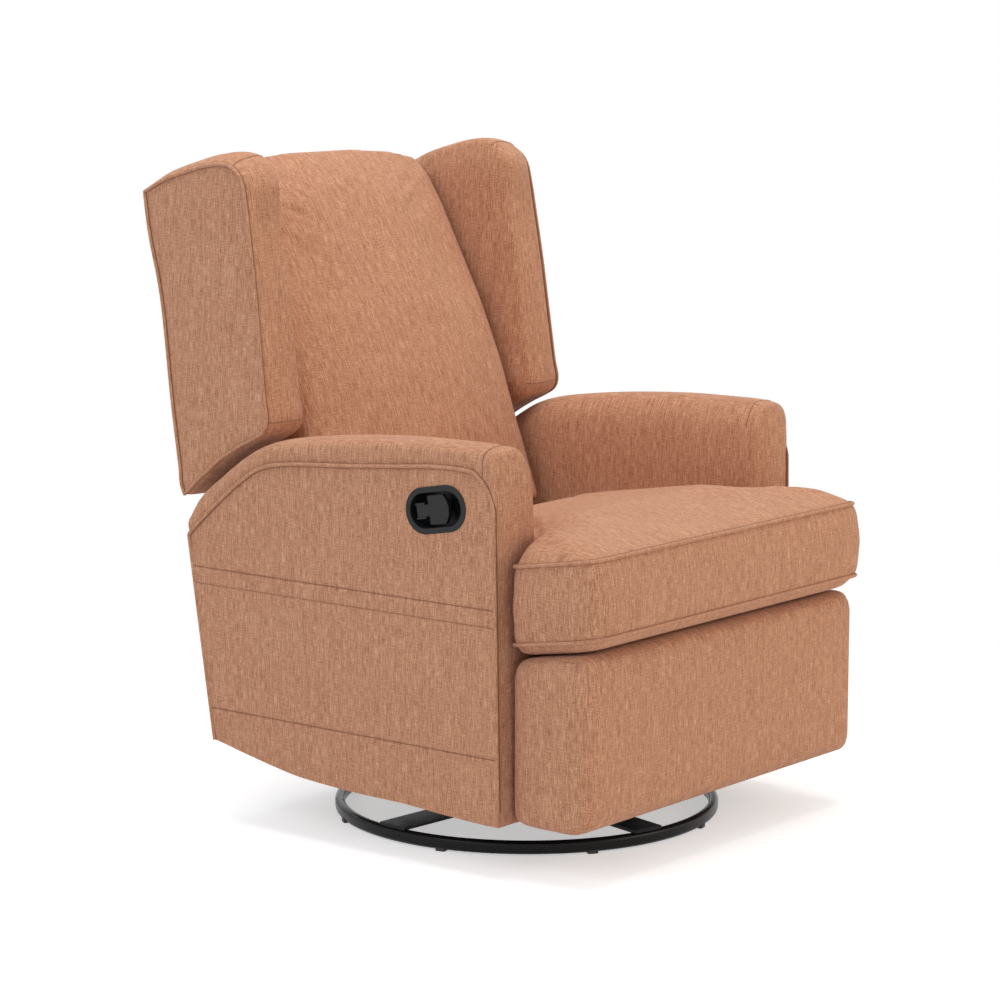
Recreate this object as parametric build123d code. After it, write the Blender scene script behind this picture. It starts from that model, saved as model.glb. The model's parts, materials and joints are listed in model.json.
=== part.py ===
from build123d import *
import os
from math import cos, hypot, radians, sin

# A swivel glider recliner: an upholstered armchair that turns on a ring base, glides to and fro on
# four swinging links, leans its back and folds out a footrest.
# Everything is drawn in millimetres about the swivel axis: X to the sitter's left, Y to the rear,
# Z up, with the floor at Z = 0. Each piece is then moved along Y by FRAME_SHIFT, so that the
# finished frame has its origin under the middle of the chair.

# ---- driving dimensions ----
FRAME_SHIFT = -42.5
RUNNING = 0.05          # radial play of every pivot that turns
LAYER_GAP = 0.5         # side play between neighbouring links
STEEL = 4.0             # thickness of the steel plates and links

RING_RADIUS = 300.5     # centre line of the base tube
RING_WIDTH = 15.0
RING_HEIGHT = 21.0
GLIDE_THICK = 2.0       # how far the base stands off the floor on its glides
GLIDE_COUNT = 8
GLIDE_PHASE = 12.7
BAR_WIDTH = 54.0
BAR_THICK = 5.0
BAR_ANGLES = (175.5, 256.0)

RACE_RADIUS = 95.0
RACE_THICK = 4.0
BALL_CIRCLE = 70.0
BALL_RADIUS = 4.0
BALL_COUNT = 24
BOLT_RADIUS = 8.0

LINK_LENGTH = 115.0     # glide links, pivot to pivot
LINK_TOP = 195.0
LINK_SPREAD = 95.0      # from the swivel axis to each link
GLIDE_PIN = 5.0

ARM_OUTER = 380.0
ARM_INNER = 288.0
SEAT_FRONT = -400.0
SEAT_UNDERSIDE = 356.5  # underside of the seat cushion at its front edge
SEAT_SLOPE = 0.158      # fall of the seat to the rear, per millimetre

# Footrest linkage, seen from the side as (y, z) with the footrest folded away.
DRIVE_PIVOT = (-220.0, 299.0)
DRIVE_LENGTH = 199.0
DRIVE_LEAN = 23.0       # degrees that the drive link leans back from straight down
BOARD_PIVOT = (-230.0, 295.0)
TAIL_LENGTH = 26.0
TAIL_ANGLE = 228.0
CONTROL_PIVOT = (-238.1, 248.2)
OFFSET_LENGTH = 45.0    # second pivot of the drive link and of the footrest bracket
OFFSET_ANGLE = -86.6
LINK_PIN = 4.0
OPEN_PIVOT_PLAY = 1.3   # the control link's slack on the long link's tail

BACK_PIVOT = (250.0, 300.0)
BACK_PIN = 6.0

PADDLE_CENTRE = (-130.0, 545.0)
PADDLE_TILT = 10.0      # degrees that the cup rises towards the front
CUP_LENGTH = 115.0
CUP_HEIGHT = 70.0
CUP_DEPTH = 30.0


# ---- helpers ----
def save(name, *solids):
    """One STEP file for one node, moved from the swivel axis to the finished frame."""
    shape = solids[0] if len(solids) == 1 else Compound(list(solids))
    export_step(Pos(0, FRAME_SHIFT, 0) * shape, f"parts/{name}.step")


def polar(angle, length):
    """A step of this length in the side view, at an angle from +Y towards +Z."""
    return (length * cos(radians(angle)), length * sin(radians(angle)))


def add(point, step):
    return (point[0] + step[0], point[1] + step[1])


def prism(points, x0, x1):
    """A flat-sided piece with this (y, z) outline, between two values of X."""
    wire = Wire.make_polygon([(x0, y, z) for y, z in points], close=True)
    return Solid.extrude(Face(wire), Vector(x1 - x0, 0, 0))


def rod(point, x0, x1, radius):
    """A round bar along X through a (y, z) point."""
    height = abs(x1 - x0)
    bar = Cylinder(radius, height, align=(Align.CENTER, Align.CENTER, Align.MIN))
    return Pos(min(x0, x1), point[0], point[1]) * Rot(0, 90, 0) * bar


def block(x0, x1, y0, y1, z0, z1):
    return Pos((x0 + x1) / 2, (y0 + y1) / 2, (z0 + z1) / 2) * Box(x1 - x0, y1 - y0, z1 - z0)


def link(points, x0, width, bores, thick=STEEL):
    """A flat link through these (y, z) points, with round ends and (point, radius) bores."""
    x1 = x0 + thick
    body = rod(points[0], x0, x1, width / 2)
    for a, b in zip(points, points[1:]):
        length = hypot(b[0] - a[0], b[1] - a[1])
        side = ((a[1] - b[1]) / length * width / 2, (b[0] - a[0]) / length * width / 2)
        back = (-side[0], -side[1])
        corners = [add(a, side), add(b, side), add(b, back), add(a, back)]
        body = body + prism(corners, x0, x1) + rod(b, x0, x1, width / 2)
    for point, radius in bores:
        body = body - rod(point, x0 - 1, x1 + 1, radius)
    return body.solid()


def bored(plate, x0, x1, bores):
    for point, radius in bores:
        plate = plate - rod(point, x0 - 1, x1 + 1, radius)
    return plate.solid()


def other_side(solid):
    """The same piece on the sitter's right."""
    return mirror(solid, about=Plane.YZ).solid()


def both(solid):
    return [solid, other_side(solid)]


def ruled(sections):
    """A solid through closed sections that all have the same number of corners."""
    return Solid.make_loft([Wire.make_polygon(s, close=True) for s in sections], ruled=True)


def seat_plane(y):
    """Height of the seat cushion's underside at a place along Y."""
    return SEAT_UNDERSIDE - (y - SEAT_FRONT) * SEAT_SLOPE


# ---- base: ring, crossed bars, glides ----
def build_base():
    ring_middle = GLIDE_THICK + RING_HEIGHT / 2
    section = Plane.XZ * Pos(RING_RADIUS, ring_middle) * RectangleRounded(RING_WIDTH, RING_HEIGHT, 6.5)
    save("base_ring", revolve(section, Axis.Z).solid())

    bar_bottom = GLIDE_THICK + RING_HEIGHT
    inside = Pos(0, 0, bar_bottom) * Cylinder(RING_RADIUS + 6, 40)
    bolt_hole = Cylinder(BOLT_RADIUS + 0.1, 200)
    flat = block(-320, 320, -BAR_WIDTH / 2, BAR_WIDTH / 2, bar_bottom, bar_bottom + BAR_THICK)
    lower = Rot(0, 0, BAR_ANGLES[0]) * flat & inside
    save("base_bar_lower", (lower - bolt_hole).solid())

    # The second bar steps up over the first one in the middle.
    low, high, top = bar_bottom, bar_bottom + BAR_THICK, bar_bottom + 2 * BAR_THICK
    flat_half, slope_half = 46, 60
    outline = [(-320, low), (-slope_half, low), (-flat_half, high), (flat_half, high), (slope_half, low),
               (320, low), (320, high), (slope_half - 2, high), (flat_half - 2, top),
               (-flat_half + 2, top), (-slope_half + 2, high), (-320, high)]
    wire = Wire.make_polygon([(x, -BAR_WIDTH / 2, z) for x, z in outline], close=True)
    stepped = Solid.extrude(Face(wire), Vector(0, BAR_WIDTH, 0))
    upper = Rot(0, 0, BAR_ANGLES[1]) * stepped & inside
    save("base_bar_upper", (upper - bolt_hole).solid())

    glides = []
    for number in range(GLIDE_COUNT):
        angle = GLIDE_PHASE + 360 / GLIDE_COUNT * number
        pad = Box(15, 16, 6, align=(Align.CENTER, Align.CENTER, Align.MIN))
        pad = fillet(pad.edges().filter_by(Axis.Z), 2)
        pad = Rot(0, 0, angle) * Pos(RING_RADIUS, 0, 0) * pad
        glides.append(pad)
    ring = revolve(section, Axis.Z)
    glides = [(pad - ring).solids().sort_by(Axis.Z)[0] for pad in glides]
    save("base_glides", *glides)


# ---- swivel bearing ----
BEARING_LOW = GLIDE_THICK + RING_HEIGHT + 2 * BAR_THICK
BALL_LEVEL = BEARING_LOW + RACE_THICK + BALL_RADIUS / 2
BEARING_HIGH = BALL_LEVEL + BALL_RADIUS / 2


def build_swivel():
    bolt_hole = Cylinder(BOLT_RADIUS + 0.08, 200)
    groove = Pos(0, 0, BALL_LEVEL) * Torus(BALL_CIRCLE, BALL_RADIUS + 0.05)
    disc = Cylinder(RACE_RADIUS, RACE_THICK, align=(Align.CENTER, Align.CENTER, Align.MIN))
    save("swivel_lower_race", (Pos(0, 0, BEARING_LOW) * disc - bolt_hole - groove).solid())
    save("swivel_upper_race", (Pos(0, 0, BEARING_HIGH) * disc - bolt_hole - groove).solid())

    balls = []
    for number in range(BALL_COUNT):
        angle = 360 / BALL_COUNT * number
        balls.append(Rot(0, 0, angle) * Pos(BALL_CIRCLE, 0, BALL_LEVEL) * Sphere(BALL_RADIUS))
    save("swivel_balls", *[ball.solid() for ball in balls])

    head_low, head_high = 13.0, GLIDE_THICK + RING_HEIGHT
    nut_low = BEARING_HIGH + RACE_THICK + 0.3
    nut_high = nut_low + 8
    shank = Pos(0, 0, head_high) * Cylinder(BOLT_RADIUS, nut_high + 3 - head_high,
                                            align=(Align.CENTER, Align.CENTER, Align.MIN))
    head = Pos(0, 0, head_low) * extrude(RegularPolygon(13, 6), head_high - head_low)
    save("swivel_bolt", (head + shank).solid())
    nut = Pos(0, 0, nut_low) * extrude(RegularPolygon(13, 6), nut_high - nut_low)
    save("swivel_nut", (nut - Cylinder(BOLT_RADIUS, 200)).solid())


# ---- turntable that carries the glide links ----
TURNTABLE_LOW = BEARING_HIGH + RACE_THICK
TURNTABLE_HIGH = TURNTABLE_LOW + 25.0
UPRIGHT_X = 190.0
LINK_X = UPRIGHT_X + STEEL + 1.0
RAIL_X = LINK_X + STEEL + 1.0
GLIDE_TOPS = ((-LINK_SPREAD, LINK_TOP), (LINK_SPREAD, LINK_TOP))
GLIDE_BOTTOMS = ((-LINK_SPREAD, LINK_TOP - LINK_LENGTH), (LINK_SPREAD, LINK_TOP - LINK_LENGTH))


def build_turntable():
    bars = []
    for y in (-62.0, 62.0):
        tube = block(-UPRIGHT_X, UPRIGHT_X, y - 20, y + 20, TURNTABLE_LOW, TURNTABLE_HIGH)
        hollow = block(-UPRIGHT_X - 1, UPRIGHT_X + 1, y - 17.5, y + 17.5, TURNTABLE_LOW + 2.5,
                       TURNTABLE_HIGH - 2.5)
        bars.append((tube - hollow).solid())
    save("turntable_bars", *bars)

    outline = [(-90, TURNTABLE_LOW), (90, TURNTABLE_LOW), (110, 185), (104, 208), (-104, 208),
               (-110, 185)]
    holes = [(point, GLIDE_PIN) for point in GLIDE_TOPS]
    upright = bored(prism(outline, UPRIGHT_X, UPRIGHT_X + STEEL), UPRIGHT_X, UPRIGHT_X + STEEL, holes)
    save("turntable_uprights", *both(upright))

    bolts = []
    for point in GLIDE_TOPS:
        shank = rod(point, UPRIGHT_X - 4, LINK_X + STEEL, GLIDE_PIN)
        head = rod(point, UPRIGHT_X - 8, UPRIGHT_X, 9)
        bolts += both((shank + head).solid())
    save("glide_top_bolts", *bolts)


def build_glide_links():
    for name, top, bottom in zip(("glide_links_front", "glide_links_rear"), GLIDE_TOPS, GLIDE_BOTTOMS):
        bore = GLIDE_PIN + RUNNING
        save(name, *both(link([top, bottom], LINK_X, 24, [(top, bore), (bottom, bore)])))


# ---- seat carriage: glide rails, cross tubes, wooden seat frame ----
WOOD_X = RAIL_X + STEEL
SEAT_RAIL_X = (WOOD_X, WOOD_X + 20.0)
TUBE_Y = 181.0
TUBE_HALF = 12.5
TUBE_Z = (75.0, 100.0)


def build_carriage():
    holes = [(point, GLIDE_PIN) for point in GLIDE_BOTTOMS]
    rail = block(RAIL_X, RAIL_X + STEEL, -195, 195, 62, 104)
    save("glide_rails", *both(bored(rail, RAIL_X, RAIL_X + STEEL, holes)))
    front_riser = block(RAIL_X, RAIL_X + STEEL, -195, -165, 104, 304)
    rear_riser = block(RAIL_X, RAIL_X + STEEL, 165, 195, 104, 252)
    save("rail_risers", *both(front_riser.solid()), *both(rear_riser.solid()))

    bolts = []
    for point in GLIDE_BOTTOMS:
        bolt = rod(point, LINK_X, RAIL_X + STEEL, GLIDE_PIN) + rod(point, RAIL_X + STEEL, RAIL_X + 10, 9)
        bolts += both(bolt.solid())
    save("glide_bottom_bolts", *bolts)

    tubes = []
    for y in (-TUBE_Y, TUBE_Y):
        tube = block(-RAIL_X, RAIL_X, y - TUBE_HALF, y + TUBE_HALF, *TUBE_Z)
        hollow = block(-RAIL_X - 1, RAIL_X + 1, y - TUBE_HALF + 2, y + TUBE_HALF - 2, TUBE_Z[0] + 2,
                       TUBE_Z[1] - 2)
        tubes.append((tube - hollow).solid())
    save("carriage_tubes", *tubes)

    deck = 12.0         # springs and deck pad lie between the rails and the cushion
    outline = [(-236, seat_plane(-236) - deck), (-236, 262), (-120, 240), (221, 205),
               (221, seat_plane(221) - deck)]
    side = bored(prism(outline, *SEAT_RAIL_X), *SEAT_RAIL_X, [(point, 4) for point in INNER_BOLTS])
    save("seat_side_rails", *both(side))
    spacers = []
    for point in INNER_BOLTS:
        bolt = rod(point, SEAT_RAIL_X[0], SEAT_RAIL_X[1], 4) + rod(point, SEAT_RAIL_X[1], INNER_PLATE_X, 7)
        spacers += both(bolt.solid())
    save("inner_plate_bolts", *spacers)
    front = prism([(-232, 286), (-208, 286), (-208, seat_plane(-208) - deck),
                   (-232, seat_plane(-232) - deck)], -WOOD_X, WOOD_X)
    save("seat_front_rail", front)
    rear = prism([(197, 208), (221, 208), (221, seat_plane(221) - deck), (197, seat_plane(197) - deck)],
                 -WOOD_X, WOOD_X)
    save("seat_rear_rail", rear)


def build_seat_springs():
    """Five zigzag wires from the front rail to the rear rail, each one bent wire."""
    wire_radius, swing, bends, drop = 1.9, 24.0, 18, 9.0
    first, last = -228.0, 217.0
    pitch = (last - first) / bends
    springs = []
    for centre in (-160, -80, 0, 80, 160):
        points = []
        for number in range(bends + 1):
            y = first + pitch * number
            z = seat_plane(y) - drop
            start = -swing if number % 2 else swing
            points += [(centre + start, y, z), (centre - start, y, z)]
        path = FilletPolyline(*points, radius=pitch * 0.45)
        start_plane = Plane(origin=path @ 0, z_dir=path % 0)
        springs.append(sweep(start_plane * Circle(wire_radius), path=path).solid())
    save("seat_springs", *springs)

    pad = prism([(-236, seat_plane(-236) - 6.5), (-236, seat_plane(-236) - 0.8),
                 (221, seat_plane(221) - 0.8), (221, seat_plane(221) - 6.5)], -232, 232)
    save("seat_deck_pad", pad)


# ---- recliner mechanism: plates, links and pins of the footrest ----
OUTER_PLATE_X = 260.0
STEP_X = STEEL + LAYER_GAP
OFFSET_LINK_X = OUTER_PLATE_X - STEP_X
DRIVE_LINK_X = OFFSET_LINK_X - STEP_X
LONG_LINK_X = DRIVE_LINK_X - STEP_X
BRACKET_X = LONG_LINK_X - STEP_X
CONTROL_LINK_X = BRACKET_X - STEP_X
INNER_PLATE_X = CONTROL_LINK_X - STEP_X
BACK_BRACKET_X = OUTER_PLATE_X - STEEL - 2.0

ELBOW = add(DRIVE_PIVOT, polar(DRIVE_LEAN - 90, DRIVE_LENGTH))
TAIL = add(ELBOW, polar(TAIL_ANGLE, TAIL_LENGTH))
DRIVE_END = add(ELBOW, polar(OFFSET_ANGLE, OFFSET_LENGTH))
BRACKET_END = add(BOARD_PIVOT, polar(OFFSET_ANGLE, OFFSET_LENGTH))
PLATE_BOLTS = ((-150.0, 284.0), (60.0, 250.0), (205.0, 262.0))
LATCH_PIVOT = (-165.0, 262.0)
LATCH_X = (-232.5, -226.5)
INNER_BOLTS = ((-132.0, 279.0), (-132.0, 260.0))


def build_mechanism():
    bore = LINK_PIN + RUNNING
    outline = [(-232, 287), (-232, 309), (-205, 309), (0, 276), (175, 249), (205, 280), (232, 314),
               (262, 318), (270, 290), (225, 235), (170, 222), (0, 238), (-190, 272)]
    holes = [(DRIVE_PIVOT, LINK_PIN), (BACK_PIVOT, BACK_PIN)] + [(point, 4.1) for point in PLATE_BOLTS]
    outer = bored(prism(outline, OUTER_PLATE_X, OUTER_PLATE_X + STEEL), OUTER_PLATE_X,
                  OUTER_PLATE_X + STEEL, holes)
    save("mechanism_outer_plates", *both(outer))

    outline = [(-247, 240), (-247, 262), (-228, 296), (-120, 290), (-120, 250), (-222, 232)]
    holes = [(CONTROL_PIVOT, 8 + RUNNING), (LATCH_PIVOT, LINK_PIN)]
    inner = bored(prism(outline, INNER_PLATE_X, INNER_PLATE_X + STEEL), INNER_PLATE_X,
                  INNER_PLATE_X + STEEL, holes)
    save("mechanism_inner_plates", *both(inner))

    drive = link([DRIVE_PIVOT, ELBOW, DRIVE_END], DRIVE_LINK_X, 20,
                 [(DRIVE_PIVOT, bore), (ELBOW, bore), (DRIVE_END, bore)])
    save("ottoman_drive_links", *both(drive))
    long_link = link([TAIL, ELBOW, BOARD_PIVOT], LONG_LINK_X, 18,
                     [(TAIL, LINK_PIN), (ELBOW, LINK_PIN), (BOARD_PIVOT, bore)])
    save("ottoman_long_links", *both(long_link))
    offset = link([DRIVE_END, BRACKET_END], OFFSET_LINK_X, 16,
                  [(DRIVE_END, LINK_PIN), (BRACKET_END, bore)])
    save("ottoman_offset_links", *both(offset))
    control = link([CONTROL_PIVOT, TAIL], CONTROL_LINK_X, 17,
                   [(CONTROL_PIVOT, 8), (TAIL, LINK_PIN - 0.8 + OPEN_PIVOT_PLAY)])
    save("ottoman_control_links", *both(control))
    save("ottoman_cross_tube", (rod(CONTROL_PIVOT, -CONTROL_LINK_X - STEEL, CONTROL_LINK_X + STEEL, 8)
                                - rod(CONTROL_PIVOT, -300, 300, 6)).solid())

    top = OUTER_PLATE_X + STEEL
    drive_pin = rod(DRIVE_PIVOT, DRIVE_LINK_X, top, LINK_PIN).solid()
    back_pin = rod(BACK_PIVOT, BACK_BRACKET_X - 1, top, BACK_PIN).solid()
    save("plate_pivot_pins", *both(drive_pin), *both(back_pin))
    elbow_pin = rod(ELBOW, LONG_LINK_X, DRIVE_LINK_X + STEEL, LINK_PIN).solid()
    tail_pin = rod(TAIL, LONG_LINK_X, LONG_LINK_X + STEEL, LINK_PIN) \
        + rod(TAIL, CONTROL_LINK_X, LONG_LINK_X, LINK_PIN - 0.8)
    save("long_link_pins", *both(elbow_pin), *both(tail_pin.solid()))
    end_pin = rod(DRIVE_END, DRIVE_LINK_X, OFFSET_LINK_X + STEEL, LINK_PIN).solid()
    save("offset_link_pins", *both(end_pin))


# ---- footrest ----
BOARD_REAR = -251.0
BOARD_THICK = 12.0


def rounded_front(half_width, low, high, y, bottom_radius, top_radius):
    """A front-view outline of the footrest at one depth."""
    corners = [(-half_width, y, low), (half_width, y, low), (half_width, y, high),
               (-half_width, y, high)]
    radii = [bottom_radius, bottom_radius, top_radius, top_radius]
    return Wire(FilletPolyline(*corners, radius=radii, close=True).edges())


def build_footrest():
    """The pad: drawn in at its rear and front seams and crowned between and in front of them."""
    half, low = 357.0, 83.0
    layers = [(-251.0, 12, 16), (-262.0, 3, 18), (-300.0, 0, 20), (-362.0, 0, 20), (-377.0, 3, 22),
              (-387.0, 10, 26), (-393.0, 24, 36)]
    sections = []
    for y, inset, top_radius in layers:
        high = seat_plane(y) - 2.0 - inset * 0.8
        sections.append(rounded_front(half - inset, low + inset, high, y, 12 + inset / 2, top_radius))
    pad = Solid.make_loft(sections, ruled=True)
    pocket = block(-310.3, 310.3, BOARD_REAR - BOARD_THICK - 0.3, BOARD_REAR + 1, 109.7, 310.3)
    save("footrest_pad", (pad - pocket).solid())
    save("footrest_board", block(-310, 310, BOARD_REAR - BOARD_THICK, BOARD_REAR, 110, 310).solid())

    outline = [(BOARD_REAR, 120), (BOARD_REAR, 306), (-221, 306), (-218, 240), (-240, 120)]
    web = prism(outline, BRACKET_X, BRACKET_X + STEEL)
    flange = block(BRACKET_X - 26, BRACKET_X + STEEL, BOARD_REAR, BOARD_REAR + 3, 120, 306)
    bracket = web + flange
    bracket = bored(bracket, BRACKET_X - 30, BRACKET_X + STEEL, [(BOARD_PIVOT, LINK_PIN),
                                                                (BRACKET_END, LINK_PIN)])
    save("footrest_brackets", *both(bracket))
    pins = [rod(BOARD_PIVOT, BRACKET_X, LONG_LINK_X + STEEL, LINK_PIN).solid(),
            rod(BRACKET_END, BRACKET_X, OFFSET_LINK_X + STEEL, LINK_PIN).solid()]
    save("footrest_pins", *both(pins[0]), *both(pins[1]))


# ---- seat cushion ----
def seat_outline(level, front_in, ear_in, side_in, rear_in):
    """One level of the T-shaped cushion, drawn in by these amounts from its full plan."""
    ear, body = 356.0 - ear_in, 280.0 - side_in
    front, notch, rear = SEAT_FRONT + front_in, -251.0 - max(ear_in, 0) * 0.2, 166.0 - rear_in
    plan = [(-ear, front), (ear, front), (ear, notch), (body, notch), (body, rear), (-body, rear),
            (-body, notch), (-ear, notch)]
    corners = [(x, y, seat_plane(y) + level) for x, y in plan]
    front_radius = 36.0 - front_in * 0.18
    notch_radius = 14.0 - front_in * 0.06
    radii = [front_radius, front_radius, notch_radius, 7, 34, 34, 7, notch_radius]
    return Wire(FilletPolyline(*corners, radius=radii, close=True).edges())


def build_seat_cushion():
    levels = [(0, 30, 30, 26, 30), (5, 10, 12, 10, 12), (20, -6, 1, 1, 1), (32, -9, -3, -2, -2),
              (78, -11, -7, -4, -5), (124, -5, -3, -3, -2), (136, 1, 1, -1, 1), (152, 22, 14, 1, 8),
              (166, 50, 28, 5, 22), (176, 82, 46, 16, 50), (183, 108, 70, 52, 100)]
    save("seat_cushion", Solid.make_loft([seat_outline(*level) for level in levels], ruled=True))


# ---- arms ----
# Each row is a cross-section of the arm, front to rear: where its plane meets the arm's bottom edge,
# the height and place of the outer seam, and the height of the ridge of the arm pad.
ARM_SECTIONS = [
    ((-247, 82), (-232, 552), 638), ((-240, 82), (-222, 583), 642), ((-228, 82), (-208, 601), 643),
    ((-212, 82), (-188, 609), 644), ((-150, 85), (-130, 609), 644), ((-62, 90), (-60, 603), 643),
    ((40, 92), (49, 594), 636), ((140, 98), (160, 586), 623), ((195, 106), (219, 575), 610),
    ((232, 113), (263, 550), 588), ((268, 120), (309, 515), 555), ((300, 127), (350, 480), 522),
    ((326, 132), (376, 456), 485)]
CAVITY = [(-226, 122), (-208, 552), (150, 540), (236, 506), (318, 436), (292, 168)]
CAVITY_X = (312.0, 352.0)


def arm_section(bottom, seam, ridge):
    """One cross-section, as corners from the outer bottom edge over the pad to the inner one."""
    lean = (seam[0] - bottom[0]) / (seam[1] - bottom[1])
    rise = ridge - seam[1]
    profile = [(ARM_OUTER, bottom[1]), (ARM_OUTER + 1, (bottom[1] + seam[1]) / 2), (ARM_OUTER, seam[1]),
               (ARM_OUTER - 1, seam[1] + rise * 0.66), (ARM_OUTER - 8, seam[1] + rise * 0.86),
               (ARM_OUTER - 40, ridge), (ARM_OUTER - 62, ridge - 4), (ARM_OUTER - 81, ridge - 26),
               (ARM_OUTER - 90, ridge - 56), (ARM_OUTER - 92, ridge - 100),
               (ARM_INNER, bottom[1])]
    return [(x, bottom[0] + (z - bottom[1]) * lean, z) for x, z in profile]


def build_arms():
    body = ruled([arm_section(*row) for row in ARM_SECTIONS])
    arm = body - prism(CAVITY, *CAVITY_X)
    for point in PLATE_BOLTS:
        arm = arm - rod(point, ARM_INNER - 5, CAVITY_X[0] + 1, 4.1)
    save("arm_left", arm.solid())

    right = other_side(arm.solid())
    right = right - cup_block(CUP_LENGTH - 10, CUP_HEIGHT - 10, -ARM_OUTER - 5,
                              CUP_DEPTH - ARM_OUTER + 0.5)
    right = right - rod(CABLE_EXIT, -CAVITY_X[0] - 1, -ARM_INNER + 5, 9)
    save("arm_right", right.solid())

    inset = [(-225, 123), (-207.5, 551), (149.5, 539), (235, 505.5), (317, 435), (291, 169)]
    board = prism(inset, CAVITY_X[0] + 0.2, CAVITY_X[0] + 18)
    for point in ((-120, 200), (-120, 400), (20, 400), (140, 420), (140, 200)):
        board = board - rod(point, 300, 340, 38)
    for point in PLATE_BOLTS:
        board = board - rod(point, 300, 340, 4.1)
    cable_hole = rod(CABLE_EXIT, -340, -300, 20)
    save("arm_boards", board.solid(), (other_side(board.solid()) - cable_hole).solid())

    bolts = []
    board_face = CAVITY_X[0] + 18
    for point in PLATE_BOLTS:
        bolt = rod(point, OUTER_PLATE_X, board_face, 4) + rod(point, board_face, board_face + 5, 8)
        bolts += both(bolt.solid())
    save("arm_bolts", *bolts)


# ---- release handle in the sitter's right arm ----
CABLE_EXIT = (-10.0, 224.0)


def cup_frame(length_step, height_step):
    """A (y, z) place in the cup, measured along and across its tilted long axis from its centre."""
    forward = polar(180 - PADDLE_TILT, 1)
    upward = polar(90 - PADDLE_TILT, 1)
    return (PADDLE_CENTRE[0] + forward[0] * length_step + upward[0] * height_step,
            PADDLE_CENTRE[1] + forward[1] * length_step + upward[1] * height_step)


def cup_block(length, height, x0, x1):
    """An obround bar along X with the cup's outline."""
    ends = [cup_frame((length - height) / 2, 0), cup_frame((height - length) / 2, 0)]
    corners = [cup_frame(sx * (length - height) / 2, sy * height / 2)
               for sx, sy in ((1, -1), (1, 1), (-1, 1), (-1, -1))]
    return prism(corners, x0, x1) + rod(ends[0], x0, x1, height / 2) + rod(ends[1], x0, x1, height / 2)


PADDLE_PIVOT = cup_frame(-31, 0)
PADDLE_X = (-ARM_OUTER - 0.5, -ARM_OUTER + 6.5)


def tilted_box(length0, length1, height0, height1, x0, x1):
    corners = [cup_frame(length0, height0), cup_frame(length1, height0), cup_frame(length1, height1),
               cup_frame(length0, height1)]
    return prism(corners, x0, x1)


def build_release():
    face, floor = -ARM_OUTER - 2.5, -ARM_OUTER + CUP_DEPTH
    lip = cup_block(CUP_LENGTH, CUP_HEIGHT, face, -ARM_OUTER - 1.2)
    barrel = cup_block(CUP_LENGTH - 11, CUP_HEIGHT - 11, -ARM_OUTER - 1.3, floor)
    hollow = cup_block(CUP_LENGTH - 17, CUP_HEIGHT - 17, face - 1, floor - 2.5)
    ears = []
    for side in (-1, 1):
        ear = tilted_box(-40, -22, side * 10.5 - 1.5, side * 10.5 + 1.5, PADDLE_X[0] + 1, floor - 2)
        ears.append(ear)
    pin_line = Plane(origin=(PADDLE_X[1] + 4, *PADDLE_PIVOT),
                     z_dir=(0, *polar(90 - PADDLE_TILT, 1)))
    pin = pin_line * Cylinder(2.5, 26)
    cable_hole = rod(cup_frame(-18, 0), floor - 4, floor + 1, 3.1)
    cup = lip + barrel - hollow + ears[0] + ears[1] - pin - cable_hole
    save("release_cup", cup.solid())
    latch_pin = rod(LATCH_PIVOT, LATCH_X[1] + 0.5, -INNER_PLATE_X - STEEL, LINK_PIN)
    save("release_pins", (pin_line * Cylinder(2.45, 24)).solid(), latch_pin.solid())

    stem = tilted_box(-38, -12, -8.7, 8.7, PADDLE_X[0] + 1, PADDLE_X[1] + 8)
    head = tilted_box(-14, 8, -21.5, 21.5, *PADDLE_X)
    nose = rod(cup_frame(-6, 0), *PADDLE_X, 30) & tilted_box(8, 40, -21.5, 21.5, *PADDLE_X)
    paddle = stem + head + nose - pin_line * Cylinder(2.5 + RUNNING, 40)
    save("release_paddle", paddle.solid())

    start = (floor - 2, *cup_frame(-18, 0))
    points = [start, (-341, *cup_frame(-18, 0)), (-341, -92, 480), (-341, -10, 380),
              (-341, *CABLE_EXIT), (-229.5, *CABLE_EXIT), (-229.5, -70, 231), (-229.5, -148, 252)]
    path = FilletPolyline(*points, radius=[7, 30, 45, 22, 30, 60])
    start_plane = Plane(origin=path @ 0, z_dir=path % 0)
    save("release_cable", sweep(start_plane * Circle(2.8), path=path).solid())


def build_latch():
    """The pawl whose nose stands behind a lug on the footrest's cross tube."""
    x0, x1 = LATCH_X
    lug = link([CONTROL_PIVOT, (-216, 250)], x0, 12, [(CONTROL_PIVOT, 8)], x1 - x0)
    save("latch_lug", (lug + rod(CONTROL_PIVOT, x0, x1, 9.5) - rod(CONTROL_PIVOT, x0, x1, 8)).solid())
    pawl = [(-157, 253), (-157, 271), (-174, 271), (-186, 262), (-209.2, 257), (-209.2, 245), (-186, 246)]
    latch = bored(prism(pawl, x0, x1), x0, x1, [(LATCH_PIVOT, LINK_PIN + RUNNING)])
    save("release_latch", latch)


# ---- back ----
REAR_LINE = [(390, 332), (394, 430), (399, 500), (405, 560), (424, 662), (447, 819), (480, 962)]
OUTSIDE_THICK = 12.0
POST_DEPTH = 26.0
BACK_FRONT = [(170, 453), (192, 528), (213, 594), (245, 685), (289, 783), (332, 860), (374, 935),
              (410, 985), (438, 1004)]


def rear_y(z):
    """Where the back's outside panel lies at a height."""
    for (y0, z0), (y1, z1) in zip(REAR_LINE, REAR_LINE[1:]):
        if z <= z1:
            return y0 + (y1 - y0) * (z - z0) / (z1 - z0)
    return REAR_LINE[-1][0]


def slab(heights, front_gap, depth):
    """A (y, z) outline that follows the back's rear line at a distance in front of it."""
    rear = [(rear_y(z) - front_gap, z) for z in heights]
    front = [(rear_y(z) - front_gap - depth, z) for z in reversed(heights)]
    return rear + front


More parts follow.
